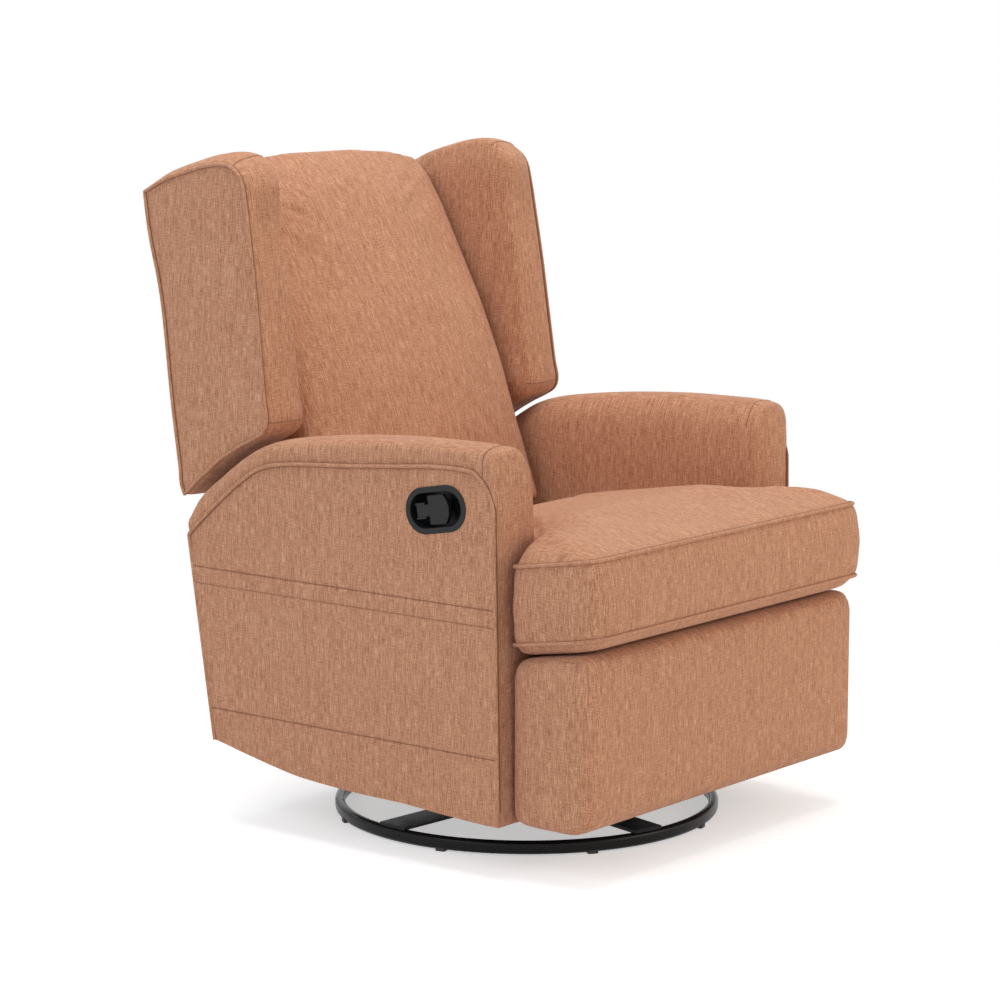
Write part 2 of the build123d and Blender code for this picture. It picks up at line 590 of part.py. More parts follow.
def build_back_frame():
    panel = prism(slab([332, 430, 500, 560, 662, 819, 962], 0, OUTSIDE_THICK), -270, 270)
    skirt = prism(slab([332, 430, 500], 0, OUTSIDE_THICK), -281, 281)
    save("outside_back", (panel + skirt).solid())
    gap = OUTSIDE_THICK + 0.5
    bolt_points = [(rear_y(height) - 26, height) for height in (480, 575)]
    post = prism(slab([445, 500, 560, 662, 819, 955], gap, POST_DEPTH), 222, 252)
    save("back_posts", *both(bored(post, 222, 252, [(point, 4) for point in bolt_points])))
    rails = []
    for low, high in ((445, 495), (670, 710), (905, 955)):
        rails.append(prism(slab([low, high], gap, POST_DEPTH), -222, 222))
    save("back_rails", *rails)
    straps = []
    for low in (520, 590, 660, 730, 800, 870):
        straps.append(prism(slab([low, low + 45], gap + POST_DEPTH + 1.5, 2), -250, 250))
    save("back_webbing", *straps)

    x0 = BACK_BRACKET_X
    outline = [(236, 286), (264, 286), (300, 372), (rear_y(440) - 20, 438), (rear_y(600) - 18, 600),
               (rear_y(600) - 38, 600), (rear_y(450) - 40, 450), (290, 414), (238, 314)]
    holes = [(BACK_PIVOT, BACK_PIN + RUNNING)] + [(point, 4) for point in bolt_points]
    bracket = bored(prism(outline, x0, x0 + STEEL), x0, x0 + STEEL, holes)
    save("back_brackets", *both(bracket))
    bolts = []
    for point in bolt_points:
        bolt = rod(point, 224, x0 + STEEL, 4) + rod(point, x0 + STEEL, x0 + STEEL + 3, 7)
        bolts += both(bolt.solid())
    save("back_bolts", *bolts)


def build_back_cushion():
    """Sections across the width: fullest in the middle, drawn in at the sides."""
    sections = []
    half = [(263, 34, 8), (255, 14, 14), (235, 0, 20), (170, -14, 30), (80, -22, 37)]
    widths = [(-x, draw, top) for x, draw, top in half] + half[::-1]
    for x, draw, top in widths:
        front = []
        for number, (y, z) in enumerate(BACK_FRONT):
            share = number / (len(BACK_FRONT) - 1)
            ends = min(1.0, 0.25 + 3 * share)
            front.append((x, y + draw * (1 - share * 0.5) * ends, z + top * share ** 3))
        rear = [(x, rear_y(z) - 43, z) for z in (930, 819, 662, 560, 500)]
        crest = [(x, 452, 996 + top), (x, 462, 985)]
        inner = [(x, rear_y(960) - 12.8 + 6, 970), (x, rear_y(960) - 20, 964), (x, rear_y(958) - 43, 958)]
        sections.append(front + crest + inner + rear + [(x, 330, 437)])
    cushion = ruled(sections)
    save("back_cushion", cushion)


# ---- wings ----
WING_OUTLINE = [(488, 986), (462, 999), (434, 1010), (400, 1020), (360, 1030), (324, 1034),
                (300, 1029), (281, 1010), (272, 975), (263, 922), (251, 846), (240, 762), (229, 678),
                (223, 645), (230, 627), (279, 603), (322, 578), (366, 543), (396, 516), (403, 530),
                (405, 560), (424, 662), (448, 819), (475, 918)]
WING_TOP_FROM = 990     # the rim is crowned higher above this height
WING_BOARD = [(448, 950), (400, 972), (345, 988), (312, 975), (300, 900), (284, 800), (266, 690),
              (280, 646), (340, 606), (378, 580), (386, 600), (398, 670), (420, 819)]


def swollen(points, distance, crown):
    """The outline moved outwards by a distance, or by the crown at its top, corner by corner."""
    result = []
    count = len(points)
    for number, (y, z) in enumerate(points):
        before, after = points[number - 1], points[(number + 1) % count]
        along = (after[0] - before[0], after[1] - before[1])
        reach = (crown if z > WING_TOP_FROM else distance) / hypot(*along)
        result.append((y + along[1] * reach, z - along[0] * reach))
    return result


def build_wings():
    sections = []
    layers = ((365, -3, -3, 14), (360, 1, 3, 12), (345, 6, 11, 9), (300, 6, 16, 0), (283, 1, 12, 0),
              (274, -8, 0, 0))
    for x, out, crown, taper in layers:
        outline = swollen(WING_OUTLINE, out, crown)
        sections.append([(x - taper * (z - 600) / 430, y, z) for y, z in outline])
    board = prism(WING_BOARD, 312, 327)
    wing = (ruled(sections) - board).solid()
    save("wing_left", wing)
    save("wing_right", other_side(wing))
    save("wing_boards", *both(board))


def build_rear_apron():
    apron = prism([(338, 140), (352, 140), (357, 326), (343, 326)], -ARM_INNER + 2, ARM_INNER - 2)
    save("rear_apron", apron)


os.makedirs("parts", exist_ok=True)
build_base()
build_swivel()
build_turntable()
build_glide_links()
build_carriage()
build_seat_springs()
build_mechanism()
build_footrest()
build_seat_cushion()
build_arms()
build_release()
build_latch()
build_back_frame()
build_back_cushion()
build_wings()
build_rear_apron()
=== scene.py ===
# %% [markdown]
# # An upholstered swivel glider recliner
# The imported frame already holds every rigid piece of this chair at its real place: the ring base,
# the bearing, the glide links, the footrest linkage, the timber. What it can't hold is cloth.
# This lesson dresses the frame: it makes the covers, the pads and their welts as meshes, gives
# every surface a finish, and lights the chair the way a plain studio would.

# %% Load the frame
import json
import math
import bmesh
import bpy
import numpy as np
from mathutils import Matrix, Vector

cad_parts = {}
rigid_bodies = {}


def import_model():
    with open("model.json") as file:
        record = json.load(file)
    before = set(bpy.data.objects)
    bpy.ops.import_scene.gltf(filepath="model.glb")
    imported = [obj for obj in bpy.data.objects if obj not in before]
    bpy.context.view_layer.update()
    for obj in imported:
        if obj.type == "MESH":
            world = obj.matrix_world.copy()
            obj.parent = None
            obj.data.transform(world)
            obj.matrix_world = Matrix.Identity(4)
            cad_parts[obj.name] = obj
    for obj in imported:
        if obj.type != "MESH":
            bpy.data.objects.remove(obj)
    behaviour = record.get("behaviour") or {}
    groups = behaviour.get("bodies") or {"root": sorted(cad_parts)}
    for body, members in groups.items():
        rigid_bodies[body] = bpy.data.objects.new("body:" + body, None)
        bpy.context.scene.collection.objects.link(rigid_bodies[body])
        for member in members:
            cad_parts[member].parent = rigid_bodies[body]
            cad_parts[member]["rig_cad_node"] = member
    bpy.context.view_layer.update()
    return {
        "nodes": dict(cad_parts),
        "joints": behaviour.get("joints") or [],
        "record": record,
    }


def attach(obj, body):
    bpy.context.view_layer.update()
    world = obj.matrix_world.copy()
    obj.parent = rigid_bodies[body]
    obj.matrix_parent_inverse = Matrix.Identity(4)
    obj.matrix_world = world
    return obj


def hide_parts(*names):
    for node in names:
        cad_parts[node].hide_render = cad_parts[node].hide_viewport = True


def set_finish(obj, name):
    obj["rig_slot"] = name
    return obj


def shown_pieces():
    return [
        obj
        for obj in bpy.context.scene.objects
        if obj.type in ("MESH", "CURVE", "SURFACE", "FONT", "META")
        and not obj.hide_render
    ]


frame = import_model()

# %% [markdown]
# An upholsterer measures a chair from its floor and its middle. The swivel axis stands a little in
# front of the frame's origin, so one helper turns millimetres about that axis into the frame's
# metres. All sizes below are in those millimetres.

# %% Millimetres about the swivel axis
SWIVEL_Y = next(joint["pos_m"][1] for joint in frame["joints"] if joint["name"] == "swivel")


def at(points):
    """Places in millimetres from the swivel axis and the floor, as metres in the frame."""
    return np.asarray(points, float) * 0.001 + (0.0, SWIVEL_Y, 0.0)


SEAT_FRONT = -400.0
SEAT_UNDERSIDE = 356.5
SEAT_SLOPE = 0.158


def seat_plane(y):
    """Height of the seat cushion's underside at a place from front to rear."""
    return SEAT_UNDERSIDE - (y - SEAT_FRONT) * SEAT_SLOPE


# %% [markdown]
# ## Lines
# Covers are cut along curves, so the lesson needs two kinds of line. A smooth line runs through a
# few given points like a bent batten. A rounded outline has straight sides and arcs, like a
# cutting template. Both come back with even spacing, because even spacing makes even quads.

# %% Smooth and rounded lines
def even(line, step, closed=False, count=None):
    """The same line with evenly spaced points, about `step` apart or `count` in number."""
    line = np.asarray(line, float)
    if closed:
        line = np.vstack([line, line[:1]])
    run = np.r_[0, np.cumsum(np.linalg.norm(np.diff(line, axis=0), axis=1))]
    if count is None:
        count = max(2, round(run[-1] / step))
    places = np.linspace(0, run[-1], count, endpoint=not closed)
    return np.column_stack([np.interp(places, run, line[:, k]) for k in range(line.shape[1])])


def smooth(points, step, closed=False, count=None):
    """A Catmull-Rom curve through the points, evenly spaced."""
    points = np.asarray(points, float)
    if closed:
        knots = np.vstack([points[-1:], points, points[:2]])
    else:
        knots = np.vstack([2 * points[0] - points[1], points, 2 * points[-1] - points[-2]])
    share = np.linspace(0, 1, 12, endpoint=False)[:, None]
    line = []
    for a, b, c, d in zip(knots, knots[1:], knots[2:], knots[3:]):
        line.append(0.5 * (2 * b + (c - a) * share + (2 * a - 5 * b + 4 * c - d) * share ** 2
                           + (3 * b - a - 3 * c + d) * share ** 3))
    line = np.vstack(line) if closed else np.vstack(line + [points[-1:]])
    return even(line, step, closed, count)


def rounded(corners, radii, step, count=None):
    """A closed outline with an arc of the given radius at each corner."""
    corners = np.asarray(corners, float)
    line = []
    for number, corner in enumerate(corners):
        back = corners[number - 1] - corner
        ahead = corners[(number + 1) % len(corners)] - corner
        back_unit, ahead_unit = back / np.linalg.norm(back), ahead / np.linalg.norm(ahead)
        half = math.acos(np.clip(back_unit @ ahead_unit, -1, 1)) / 2
        reach = radii[number] / math.tan(half)
        start, end = corner + back_unit * reach, corner + ahead_unit * reach
        inward = (back_unit + ahead_unit) / np.linalg.norm(back_unit + ahead_unit)
        centre = corner + inward * radii[number] / math.sin(half)
        for share in np.linspace(0, 1, 9):
            arm = start + (end - start) * share - centre
            line.append(centre + arm / np.linalg.norm(arm) * radii[number])
    return even(line, step, True, count)


# %% [markdown]
# ## Skins
# Every cover is a skin stretched over a stack of rings, like hoops in a sleeve. Its two ends are
# closed by shrinking the last ring towards a short spine, which keeps the quads even where a fan
# of triangles would pinch. The weave needs a direction, so each face is laid flat on the plane
# that it faces most, and that gives its thread coordinates in metres.

# %% Skins with thread coordinates
def lay_threads(mesh):
    """UVs in metres: upright threads on upright faces, front-to-back threads on level ones."""
    layer = mesh.uv_layers.get("threads") or mesh.uv_layers.new(name="threads")
    count = len(mesh.vertices)
    co = np.empty(count * 3)
    mesh.vertices.foreach_get("co", co)
    co = co.reshape(-1, 3)
    normals = np.empty(len(mesh.polygons) * 3)
    mesh.polygons.foreach_get("normal", normals)
    facing = np.abs(normals.reshape(-1, 3)).argmax(axis=1)
    corner_vertex = np.empty(len(mesh.loops), int)
    mesh.loops.foreach_get("vertex_index", corner_vertex)
    sizes = np.empty(len(mesh.polygons), int)
    mesh.polygons.foreach_get("loop_total", sizes)
    facing = np.repeat(facing, sizes)
    across = np.where(facing == 0, 1, 0)
    along = np.where(facing == 2, 1, 2)
    places = co[corner_vertex]
    rows = np.arange(len(places))
    uv = np.column_stack([places[rows, across], places[rows, along]])
    layer.data.foreach_set("uv", uv.ravel())


MERGE_DISTANCE = 0.0004
SHARP_DEGREES = 42


def new_piece(name, vertices, faces, body):
    """A mesh piece from places in metres, riding on a body of the frame."""
    mesh = bpy.data.meshes.new(name)
    mesh.from_pydata([tuple(v) for v in vertices], [], faces)
    work = bmesh.new()
    work.from_mesh(mesh)
    bmesh.ops.remove_doubles(work, verts=work.verts, dist=MERGE_DISTANCE)
    bmesh.ops.recalc_face_normals(work, faces=work.faces)
    work.to_mesh(mesh)
    work.free()
    piece = bpy.data.objects.new(name, mesh)
    bpy.context.scene.collection.objects.link(piece)
    finish_mesh(piece)
    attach(piece, body)
    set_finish(piece, "upholstery")
    return piece


def finish_mesh(piece, sharp_degrees=SHARP_DEGREES):
    """Smooth shading that breaks at sharp edges, and thread coordinates."""
    mesh = piece.data
    mesh.polygons.foreach_set("use_smooth", [True] * len(mesh.polygons))
    mesh.set_sharp_from_angle(angle=math.radians(sharp_degrees))
    lay_threads(mesh)
    mesh.update()


CROWN_POWER = 2.4


def cap_rings(ring, spine, rings, bulge):
    """Rings that shrink from a ring to its spine, standing proud by `bulge` in the middle."""
    a, b = np.asarray(spine[0], float), np.asarray(spine[1], float)
    share = np.clip((ring - a) @ (b - a) / ((b - a) @ (b - a)), 0, 1)[:, None]
    target = a + (b - a) * share
    bulge = np.asarray(bulge, float)
    result = []
    for number in range(1, rings + 1):
        inward = number / rings
        result.append(ring + (target - ring) * inward + bulge * (1 - (1 - inward) ** CROWN_POWER))
    return result


def skin(name, rings, body):
    """A piece through closed rings of points with equal counts, given in millimetres."""
    count = len(rings[0])
    vertices = at(np.vstack(rings))
    faces = []
    for row in range(len(rings) - 1):
        for k in range(count):
            a, b = row * count + k, row * count + (k + 1) % count
            faces.append((a, b, b + count, a + count))
    return new_piece(name, vertices, faces, body)


def mirrored(points):
    return np.asarray(points, float) * (-1, 1, 1)


SIDES = (("left", np.asarray), ("right", mirrored))


# %% [markdown]
# Piping, or welt cord, is a thin cord wrapped in a strip of the cover and sewn into a seam. It
# outlines the arms, the wings and the seat cushion, and it is most of what makes them read as
# sewn. A tube swept along the seam does it. Beside a cord the cloth dives into the seam, in shade,
# so a slightly thicker tube lies deeper under each one, coloured dark as painted shade. A stitched
# seam without a cord is only such a tube of painted shade, much thinner and half sunk into the cloth.

# %% Cords along seams
CORD_RADIUS, CREASE_RADIUS, STITCH_RADIUS = 3.0, 3.5, 0.9
CREASE_PAINTED_SHADE, STITCH_PAINTED_SHADE = 0.75, 0.5  # how much painted seam shade, from 0 on the cover to 1
TUBE_SIDES = 10


def shade_piece(piece, amount):
    """Writes how much painted seam shade a whole piece gets, for the cloth finish to darken it."""
    layer = piece.data.attributes.new("seam_depth", "FLOAT", "POINT")
    layer.data.foreach_set("value", np.full(len(piece.data.vertices), amount))


def stitched(name, line, body, radius=STITCH_RADIUS):
    """A seam without piping: a thin crease tube, coloured dark as painted shade."""
    # The tube is darkened by the cloth finish: painted shade in the seam.
    shade_piece(tube(name, line, body, radius), STITCH_PAINTED_SHADE)


def piped(name, line, deeper, body, closed=False):
    """A welt cord along a line, and a thicker tube of painted crease shade along the same line a little
    deeper.
    """
    tube(name, line, body, CORD_RADIUS, closed)
    # The deeper tube is coloured dark: painted shade beside the cord.
    shade_piece(tube(name + "_crease", deeper, body, CREASE_RADIUS, closed), CREASE_PAINTED_SHADE)


def tube(name, line, body, radius, closed=False):
    """A tube along a line in millimetres, with a steady frame from end to end."""
    line = np.asarray(line, float)
    ahead = np.roll(line, -1, axis=0) - np.roll(line, 1, axis=0)
    if not closed:
        ahead[0], ahead[-1] = line[1] - line[0], line[-1] - line[-2]
    ahead /= np.linalg.norm(ahead, axis=1)[:, None]
    side = np.cross(ahead[0], (0.36, 0.48, 0.8))  # any direction that no seam here runs along
    rings = []
    angles = np.linspace(0, 2 * math.pi, TUBE_SIDES, endpoint=False)
    for place, direction in zip(line, ahead):
        side = side - direction * (side @ direction)
        side /= np.linalg.norm(side)
        up = np.cross(direction, side)
        rings.append(place + radius * (np.outer(np.cos(angles), side) + np.outer(np.sin(angles), up)))
    if closed:
        rings.append(rings[0])
    else:
        rings.insert(0, np.repeat(line[:1], TUBE_SIDES, axis=0))
        rings.append(np.repeat(line[-1:], TUBE_SIDES, axis=0))
    return skin(name, rings, body)


print("helpers ready; swivel axis at y =", SWIVEL_Y)

# %% [markdown]
# ## Arms
# Each arm is a timber box in foam and wadding. Its outer panel is flat and ends in a welt that
# climbs the rear edge, follows the arm's long slope and turns down the front. From the welt the
# pad rolls over to the inner face. The sections below run from front to rear: each leans with the
# arm's edge, so that the welt can be read straight off them.

# %% Arm sections
ARM_OUTER, ARM_INNER, ARM_ROLL = 380.0, 288.0, 130.0
ARM_ROWS = [  # y and z of the bottom edge, y and z of the welt, height of the ridge
    (-247, 82, -239, 552, 638), (-243, 82, -234, 569, 641), (-238, 82, -226, 584, 642),
    (-229, 82, -212, 599, 643), (-214, 82, -193, 608, 644), (-150, 85, -130, 609, 644),
    (-62, 90, -60, 603, 643), (40, 92, 49, 594, 636), (140, 98, 160, 586, 623),
    (195, 106, 219, 575, 610), (232, 113, 263, 550, 588), (268, 120, 309, 515, 555),
    (300, 127, 350, 480, 522), (326, 132, 376, 456, 485)]
PANEL_SEAMS = (183.0, 380.0, 406.0)
SEAM_STEPS = np.array([-7, -3, -1.2, 0, 1.2, 3, 7])
SEAM_PRESS = np.array([0.5, 0.1, -0.9, -1.5, -0.9, 0.1, 0.5])
SEAM_FIRMNESS = (1.0, 0.4, 1.0)  # the middle seam is pulled in less
PANEL_ROWS, ROWS_TO_WELT, SEAM_MARGIN = (9, 18, 2), 13, 9
PANEL_CROWN, WELT_PRESS, WELT_PRESS_REACH = 2.5, 2.0, 11
PAD_ROLL = [(0.5, 0.45), (3, 0.72), (13, 0.91)]  # inward from the panel, share of the rise
PAD_INSIDE = [(38, 0), (62, 4), (81, 27), (89, 56), (92, 100)]  # inward, below the ridge


def arm_section(row):
    """One closed section of the arm in millimetres, and how many of its points lie on the panel."""
    bottom_y, bottom_z, seam_y, seam_z, ridge = row
    heights, press = [], []
    low = bottom_z
    for seam, points, firmness in zip(PANEL_SEAMS, PANEL_ROWS, SEAM_FIRMNESS):
        heights += list(np.linspace(low, seam - SEAM_MARGIN, points)) + list(seam + SEAM_STEPS)
        press += [0.0] * points + list(SEAM_PRESS * firmness)
        low = seam + SEAM_MARGIN
    heights += list(np.linspace(low, seam_z - 14, ROWS_TO_WELT))
    heights += [seam_z - 9, seam_z - 5, seam_z - 2, seam_z]
    press += [0.0] * ROWS_TO_WELT + [-0.3, -1.0, -WELT_PRESS, -WELT_PRESS]
    share = (np.array(heights) - bottom_z) / (seam_z - bottom_z)
    panel_x = ARM_OUTER + PANEL_CROWN * np.sin(math.pi * share) ** 0.7 + np.array(press)
    rise = ridge - seam_z
    pad = [(ARM_OUTER, seam_z)]
    pad += [(ARM_OUTER - inward, seam_z + rise * share) for inward, share in PAD_ROLL]
    pad += [(ARM_OUTER - inward, ridge - drop) for inward, drop in PAD_INSIDE]
    pad = smooth(pad + [(ARM_INNER, ridge - ARM_ROLL)], 0, count=40)
    near = np.clip(1 - np.linalg.norm(pad - pad[0], axis=1) / WELT_PRESS_REACH, 0, 1)
    pad[:, 0] -= WELT_PRESS * near ** 1.5
    inner = np.column_stack([np.full(20, ARM_INNER), np.linspace(ridge - ARM_ROLL - 8, bottom_z, 20)])
    base = np.column_stack([np.linspace(ARM_INNER + 8, ARM_OUTER - 8, 9), np.full(9, bottom_z)])
    profile = np.vstack([np.column_stack([panel_x, heights]), pad[1:], inner, base])
    lean = (seam_y - bottom_y) / (seam_z - bottom_z)
    y = bottom_y + (profile[:, 1] - bottom_z) * lean
    return np.column_stack([profile[:, 0], y, profile[:, 1]]), len(heights)


arm_rows = smooth(ARM_ROWS, 10.0)
arm_rings = [arm_section(row)[0] for row in arm_rows]
PANEL_POINTS = arm_section(arm_rows[0])[1]
print("arm:", len(arm_rings), "sections of", len(arm_rings[0]), "points")

# %% [markdown]
# The front of each arm is a sewn panel of its own. Foam fills it out above the seat cushion, and it
# is flatter below. A flat cap would do for the rear, but a few millimetres of crown catch the light
# as softness. Both ends shrink towards a spine in the middle of the arm.

# %% Arm pieces
CAP_RINGS, SPINE_DEPTH = 6, 44
FRONT_CROWNS = (0.35, 0.62, 0.82, 0.93, 0.98, 1.0)  # share of the crown at each ring of the cap
LOW_CROWN, HIGH_CROWN, REAR_CROWN = 1.0, 5.0, 4.0


def step_between(value, low, high):
    """A soft step from 0 to 1 between two values."""
    share = np.clip((value - low) / (high - low), 0, 1)
    return share * share * (3 - 2 * share)


def end_spine(ring, depth=SPINE_DEPTH):
    """A spine through the middle of an upright end, kept `depth` from its top and bottom."""
    low, high = ring[ring[:, 2].argmin()], ring[ring[:, 2].argmax()]
    middle = (ARM_OUTER + ARM_INNER) / 2
    lean = (high[1] - low[1]) / (high[2] - low[2])
    a = np.array([middle, low[1] + depth * lean, low[2] + depth])
    b = np.array([middle, high[1] - depth * lean, high[2] - depth])
    return a, b


def arm_stack():
    front, rear = arm_rings[0], arm_rings[-1]
    front_cap = cap_rings(front, end_spine(front), CAP_RINGS, (0, 0, 0))
    for ring, crown in zip(front_cap, FRONT_CROWNS):
        above_seat = step_between(ring[:, 2], 470, 560)
        ring[:, 1] -= crown * (LOW_CROWN + HIGH_CROWN * above_seat)
    rear_cap = cap_rings(rear, end_spine(rear), CAP_RINGS, (0, REAR_CROWN, 0))
    return front_cap[::-1] + arm_rings + rear_cap


arms = {}
for side, flip in SIDES:
    arms[side] = skin(f"arm_{side}_cover", [flip(ring) for ring in arm_stack()], "chair_body")
    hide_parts(f"arm_{side}")
print("arm covers:", len(arms["left"].data.polygons), "faces each")

# %% [markdown]
# The release handle sits in a moulded cup let into the sitter's right arm, so the cover has a hole
# there, cut with the cup's own outline a little smaller than its lip.

# %% The hole for the release cup
CUP_CENTRE, CUP_TILT = (-130.0, 545.0), 10.0
CUP_LENGTH, CUP_HEIGHT, LIP = 115.0, 70.0, 4.5
CUTTER_DEPTHS = (-ARM_OUTER - 20, -ARM_OUTER + 32)


def cup_outline(inset, x):
    """The cup's obround outline at one depth, drawn in by `inset`."""
    straight = (CUP_LENGTH - CUP_HEIGHT) / 2
    radius = CUP_HEIGHT / 2 - inset
    line = []
    for side, first in ((1, -90), (-1, 90)):
        for angle in np.radians(np.linspace(first, first + 180, 24)):
            line.append((side * straight + radius * math.cos(angle), radius * math.sin(angle)))
    line = even(line, 3.0, True)
    tilt = math.radians(CUP_TILT)
    y = CUP_CENTRE[0] - line[:, 0] * math.cos(tilt) + line[:, 1] * math.sin(tilt)
    z = CUP_CENTRE[1] + line[:, 0] * math.sin(tilt) + line[:, 1] * math.cos(tilt)
    return np.column_stack([np.full(len(line), x), y, z])


def apply_modifiers(piece):
    """Turns what the modifiers make of a piece into its own mesh."""
    graph = bpy.context.evaluated_depsgraph_get()
    mesh = bpy.data.meshes.new_from_object(piece.evaluated_get(graph))
    piece.modifiers.clear()
    piece.data = mesh


def cut_cup_hole(piece):
    rings = [cup_outline(LIP, x) for x in CUTTER_DEPTHS]
    ends = [np.repeat(ring.mean(axis=0)[None], len(ring), axis=0) for ring in rings]
    cutter = skin("cup_cutter", [ends[0], rings[0], rings[1], ends[1]], "chair_body")
    cut = piece.modifiers.new("cup hole", "BOOLEAN")
    cut.object = cutter
    cut.solver = "EXACT"
    apply_modifiers(piece)
    bpy.data.objects.remove(cutter)
    finish_mesh(piece)


cut_cup_hole(arms["right"])
print("cup hole cut:", len(arms["right"].data.polygons), "faces")

# %% Arm welts and seams
WELT_PROUD, WELT_CREASE = 1.0, (-1.9, 0, 0)
SEAM_RADII = (0.9, 0.5, 0.9)
FRONT_SEAM_Y, FRONT_SEAM_POINTS = -214, 24


def arm_welt():
    """From the rear bottom corner up the rear edge, along the slope and down the front edge."""
    rear = arm_rings[-1][:PANEL_POINTS:4]
    top = np.array([ring[PANEL_POINTS - 1] for ring in arm_rings])[::-1]
    front = arm_rings[0][PANEL_POINTS - 1::-4]
    line = even(np.vstack([rear, top, front]), 5.0)
    line[:, 0] = ARM_OUTER + WELT_PROUD
    return line


def front_panel_seam():
    """The seam where the arm's front panel meets the top of the pad."""
    row = arm_rows[np.abs(arm_rows[:, 2] - FRONT_SEAM_Y).argmin()]
    return arm_section(row)[0][PANEL_POINTS - 1:PANEL_POINTS + FRONT_SEAM_POINTS]


for side, flip in SIDES:
    piped(f"arm_{side}_welt", flip(arm_welt()), flip(arm_welt() + WELT_CREASE), "chair_body")
    stitched(f"arm_{side}_front_seam", flip(front_panel_seam()), "chair_body")
    for level, (height, radius) in enumerate(zip(PANEL_SEAMS, SEAM_RADII)):
        line = []
        for ring in arm_rings:
            nearest = np.abs(ring[:PANEL_POINTS, 2] - height).argmin()
            line.append(ring[nearest] + (0.3, 0, 0))
        stitched(f"arm_{side}_seam_{level}", flip(line), "chair_body", radius)
print("arm welts and seams made")

# %% [markdown]
# ## Wings
# A wing is a flat timber board in a sewn box of cloth: an outer panel, an inner panel, and a rim
# that joins them, with a welt round the outer panel. The outline is smooth in front and has two
# sharp corners at the rear, so it is drawn as two lines.

# %% Wing outline
WING_FRONT = [(488, 986), (462, 999), (434, 1010), (400, 1020), (360, 1030), (324, 1034), (300, 1029),
              (281, 1010), (272, 975), (263, 922), (251, 846), (240, 762), (229, 678), (223, 648),
              (229, 629), (250, 616), (279, 602), (322, 577), (366, 543), (396, 516)]
WING_REAR = [(396, 516), (403, 533), (406, 560), (424, 662), (448, 819), (475, 918), (488, 986)]


def inward_normals(line):
    """Unit normals that point into a closed (y, z) outline drawn front side first."""
    along = np.roll(line, -1, axis=0) - np.roll(line, 1, axis=0)
    along /= np.linalg.norm(along, axis=1)[:, None]
    return np.column_stack([-along[:, 1], along[:, 0]])


wing_line = np.vstack([smooth(WING_FRONT, 8.0)[:-1], smooth(WING_REAR, 8.0)[:-1]])
wing_normals = inward_normals(wing_line)
if ((wing_line - wing_line.mean(axis=0)) * wing_normals).sum() > 0:
    wing_normals = -wing_normals
for _ in range(2):
    beside = np.roll(wing_normals, 1, axis=0) + wing_normals * 2 + np.roll(wing_normals, -1, axis=0)
    wing_normals = beside / 4
WING_LAYERS = [  # x at the wing's foot, how far the outline is drawn in, and the same at its top
    (365.0, 1.5, 1.5), (363.0, 0.5, -0.5), (360.0, -2.0, -4.0), (354.0, -4.0, -8.5),
    (340.0, -5.5, -13.5), (320.0, -6.5, -17.0), (304.0, -6.5, -18.0), (294.0, -6.0, -17.5),
    (288.0, -5.3, -16.3), (284.0, -3.0, -13.0), (281.5, 1.0, -8.5), (280.0, 6.0, -3.0),
    (278.0, 14.0, 6.0), (275.0, 24.0, 18.0)]
WING_INNER, WING_LEAN = 285.0, 14.0
OUTER_SPINE = ((356.0, 385.0, 950.0), (364.0, 335.0, 640.0))
INNER_SPINE = ((275.0, 408.0, 925.0), (275.0, 335.0, 640.0))


def wing_ring(x, inset, top_inset):
    """The outline at one layer. The outer layers lean in towards the top."""
    at_top = step_between(wing_line[:, 1], 945, 1010)[:, None]
    line = wing_line + wing_normals * (inset + (top_inset - inset) * at_top)
    lean = np.clip((x - WING_INNER) / 80.0, 0, 1) * WING_LEAN
    return np.column_stack([x - lean * (line[:, 1] - 600) / 430, line])


def wing_stack():
    rings = [wing_ring(*layer) for layer in WING_LAYERS]
    outer = cap_rings(rings[0], OUTER_SPINE, 9, (3.0, 0, 0))
    inner = cap_rings(rings[-1], INNER_SPINE, 8, (-3.0, 0, 0))
    return outer[::-1] + rings + inner


print("wing outline:", len(wing_line), "points")

# %% Wing pieces
def rim_seam(y, z):
    """A stitched seam across the rim, at the outline's nearest point."""
    nearest = np.linalg.norm(wing_line - (y, z), axis=1).argmin()
    line = [wing_ring(*layer)[nearest] for layer in WING_LAYERS[:-3]]
    return even(line, 4.0)


TOP_SEAM, FOOT_SEAM = (300, 1029), (224, 640)
wing_welt, wing_crease = wing_ring(366.0, -0.4, -0.4), wing_ring(363.9, 0.4, 0.0)
for side, flip in SIDES:
    cover = skin(f"wing_{side}_cover", [flip(ring) for ring in wing_stack()], "backrest")
    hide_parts(f"wing_{side}")
    piped(f"wing_{side}_welt", flip(wing_welt), flip(wing_crease), "backrest", closed=True)
    stitched(f"wing_{side}_top_seam", flip(rim_seam(*TOP_SEAM)), "backrest")
    stitched(f"wing_{side}_foot_seam", flip(rim_seam(*FOOT_SEAM)), "backrest")
print("wing covers:", len(cover.data.polygons), "faces each")

# %% [markdown]
# ## Footrest
# The footrest is a board in foam. Its cover is pulled round the edges without piping, so it shows
# as one soft crowned panel with small round corners. Its top slopes with the seat above it.

# %% Footrest cover
FOOT_HALF, FOOT_LOW, FOOT_BELOW_SEAT = 357.0, 83.0, 2.5
FOOT_LOW_RADIUS, FOOT_HIGH_RADIUS, FOOT_CROWN = 12, 20, 3.0
FOOT_SPINE_HALF, FOOT_SPINE_Z = 205, 214
FOOT_LAYERS = [  # y, how far the outline is drawn in
    (-251.0, 16), (-252.0, 10), (-256.0, 5), (-264.0, 2), (-285.0, 0), (-335.0, -0.5), (-358.0, 0),
    (-370.0, 2), (-379.0, 5.5), (-386.0, 10.5), (-391.0, 17.5), (-394.0, 27)]


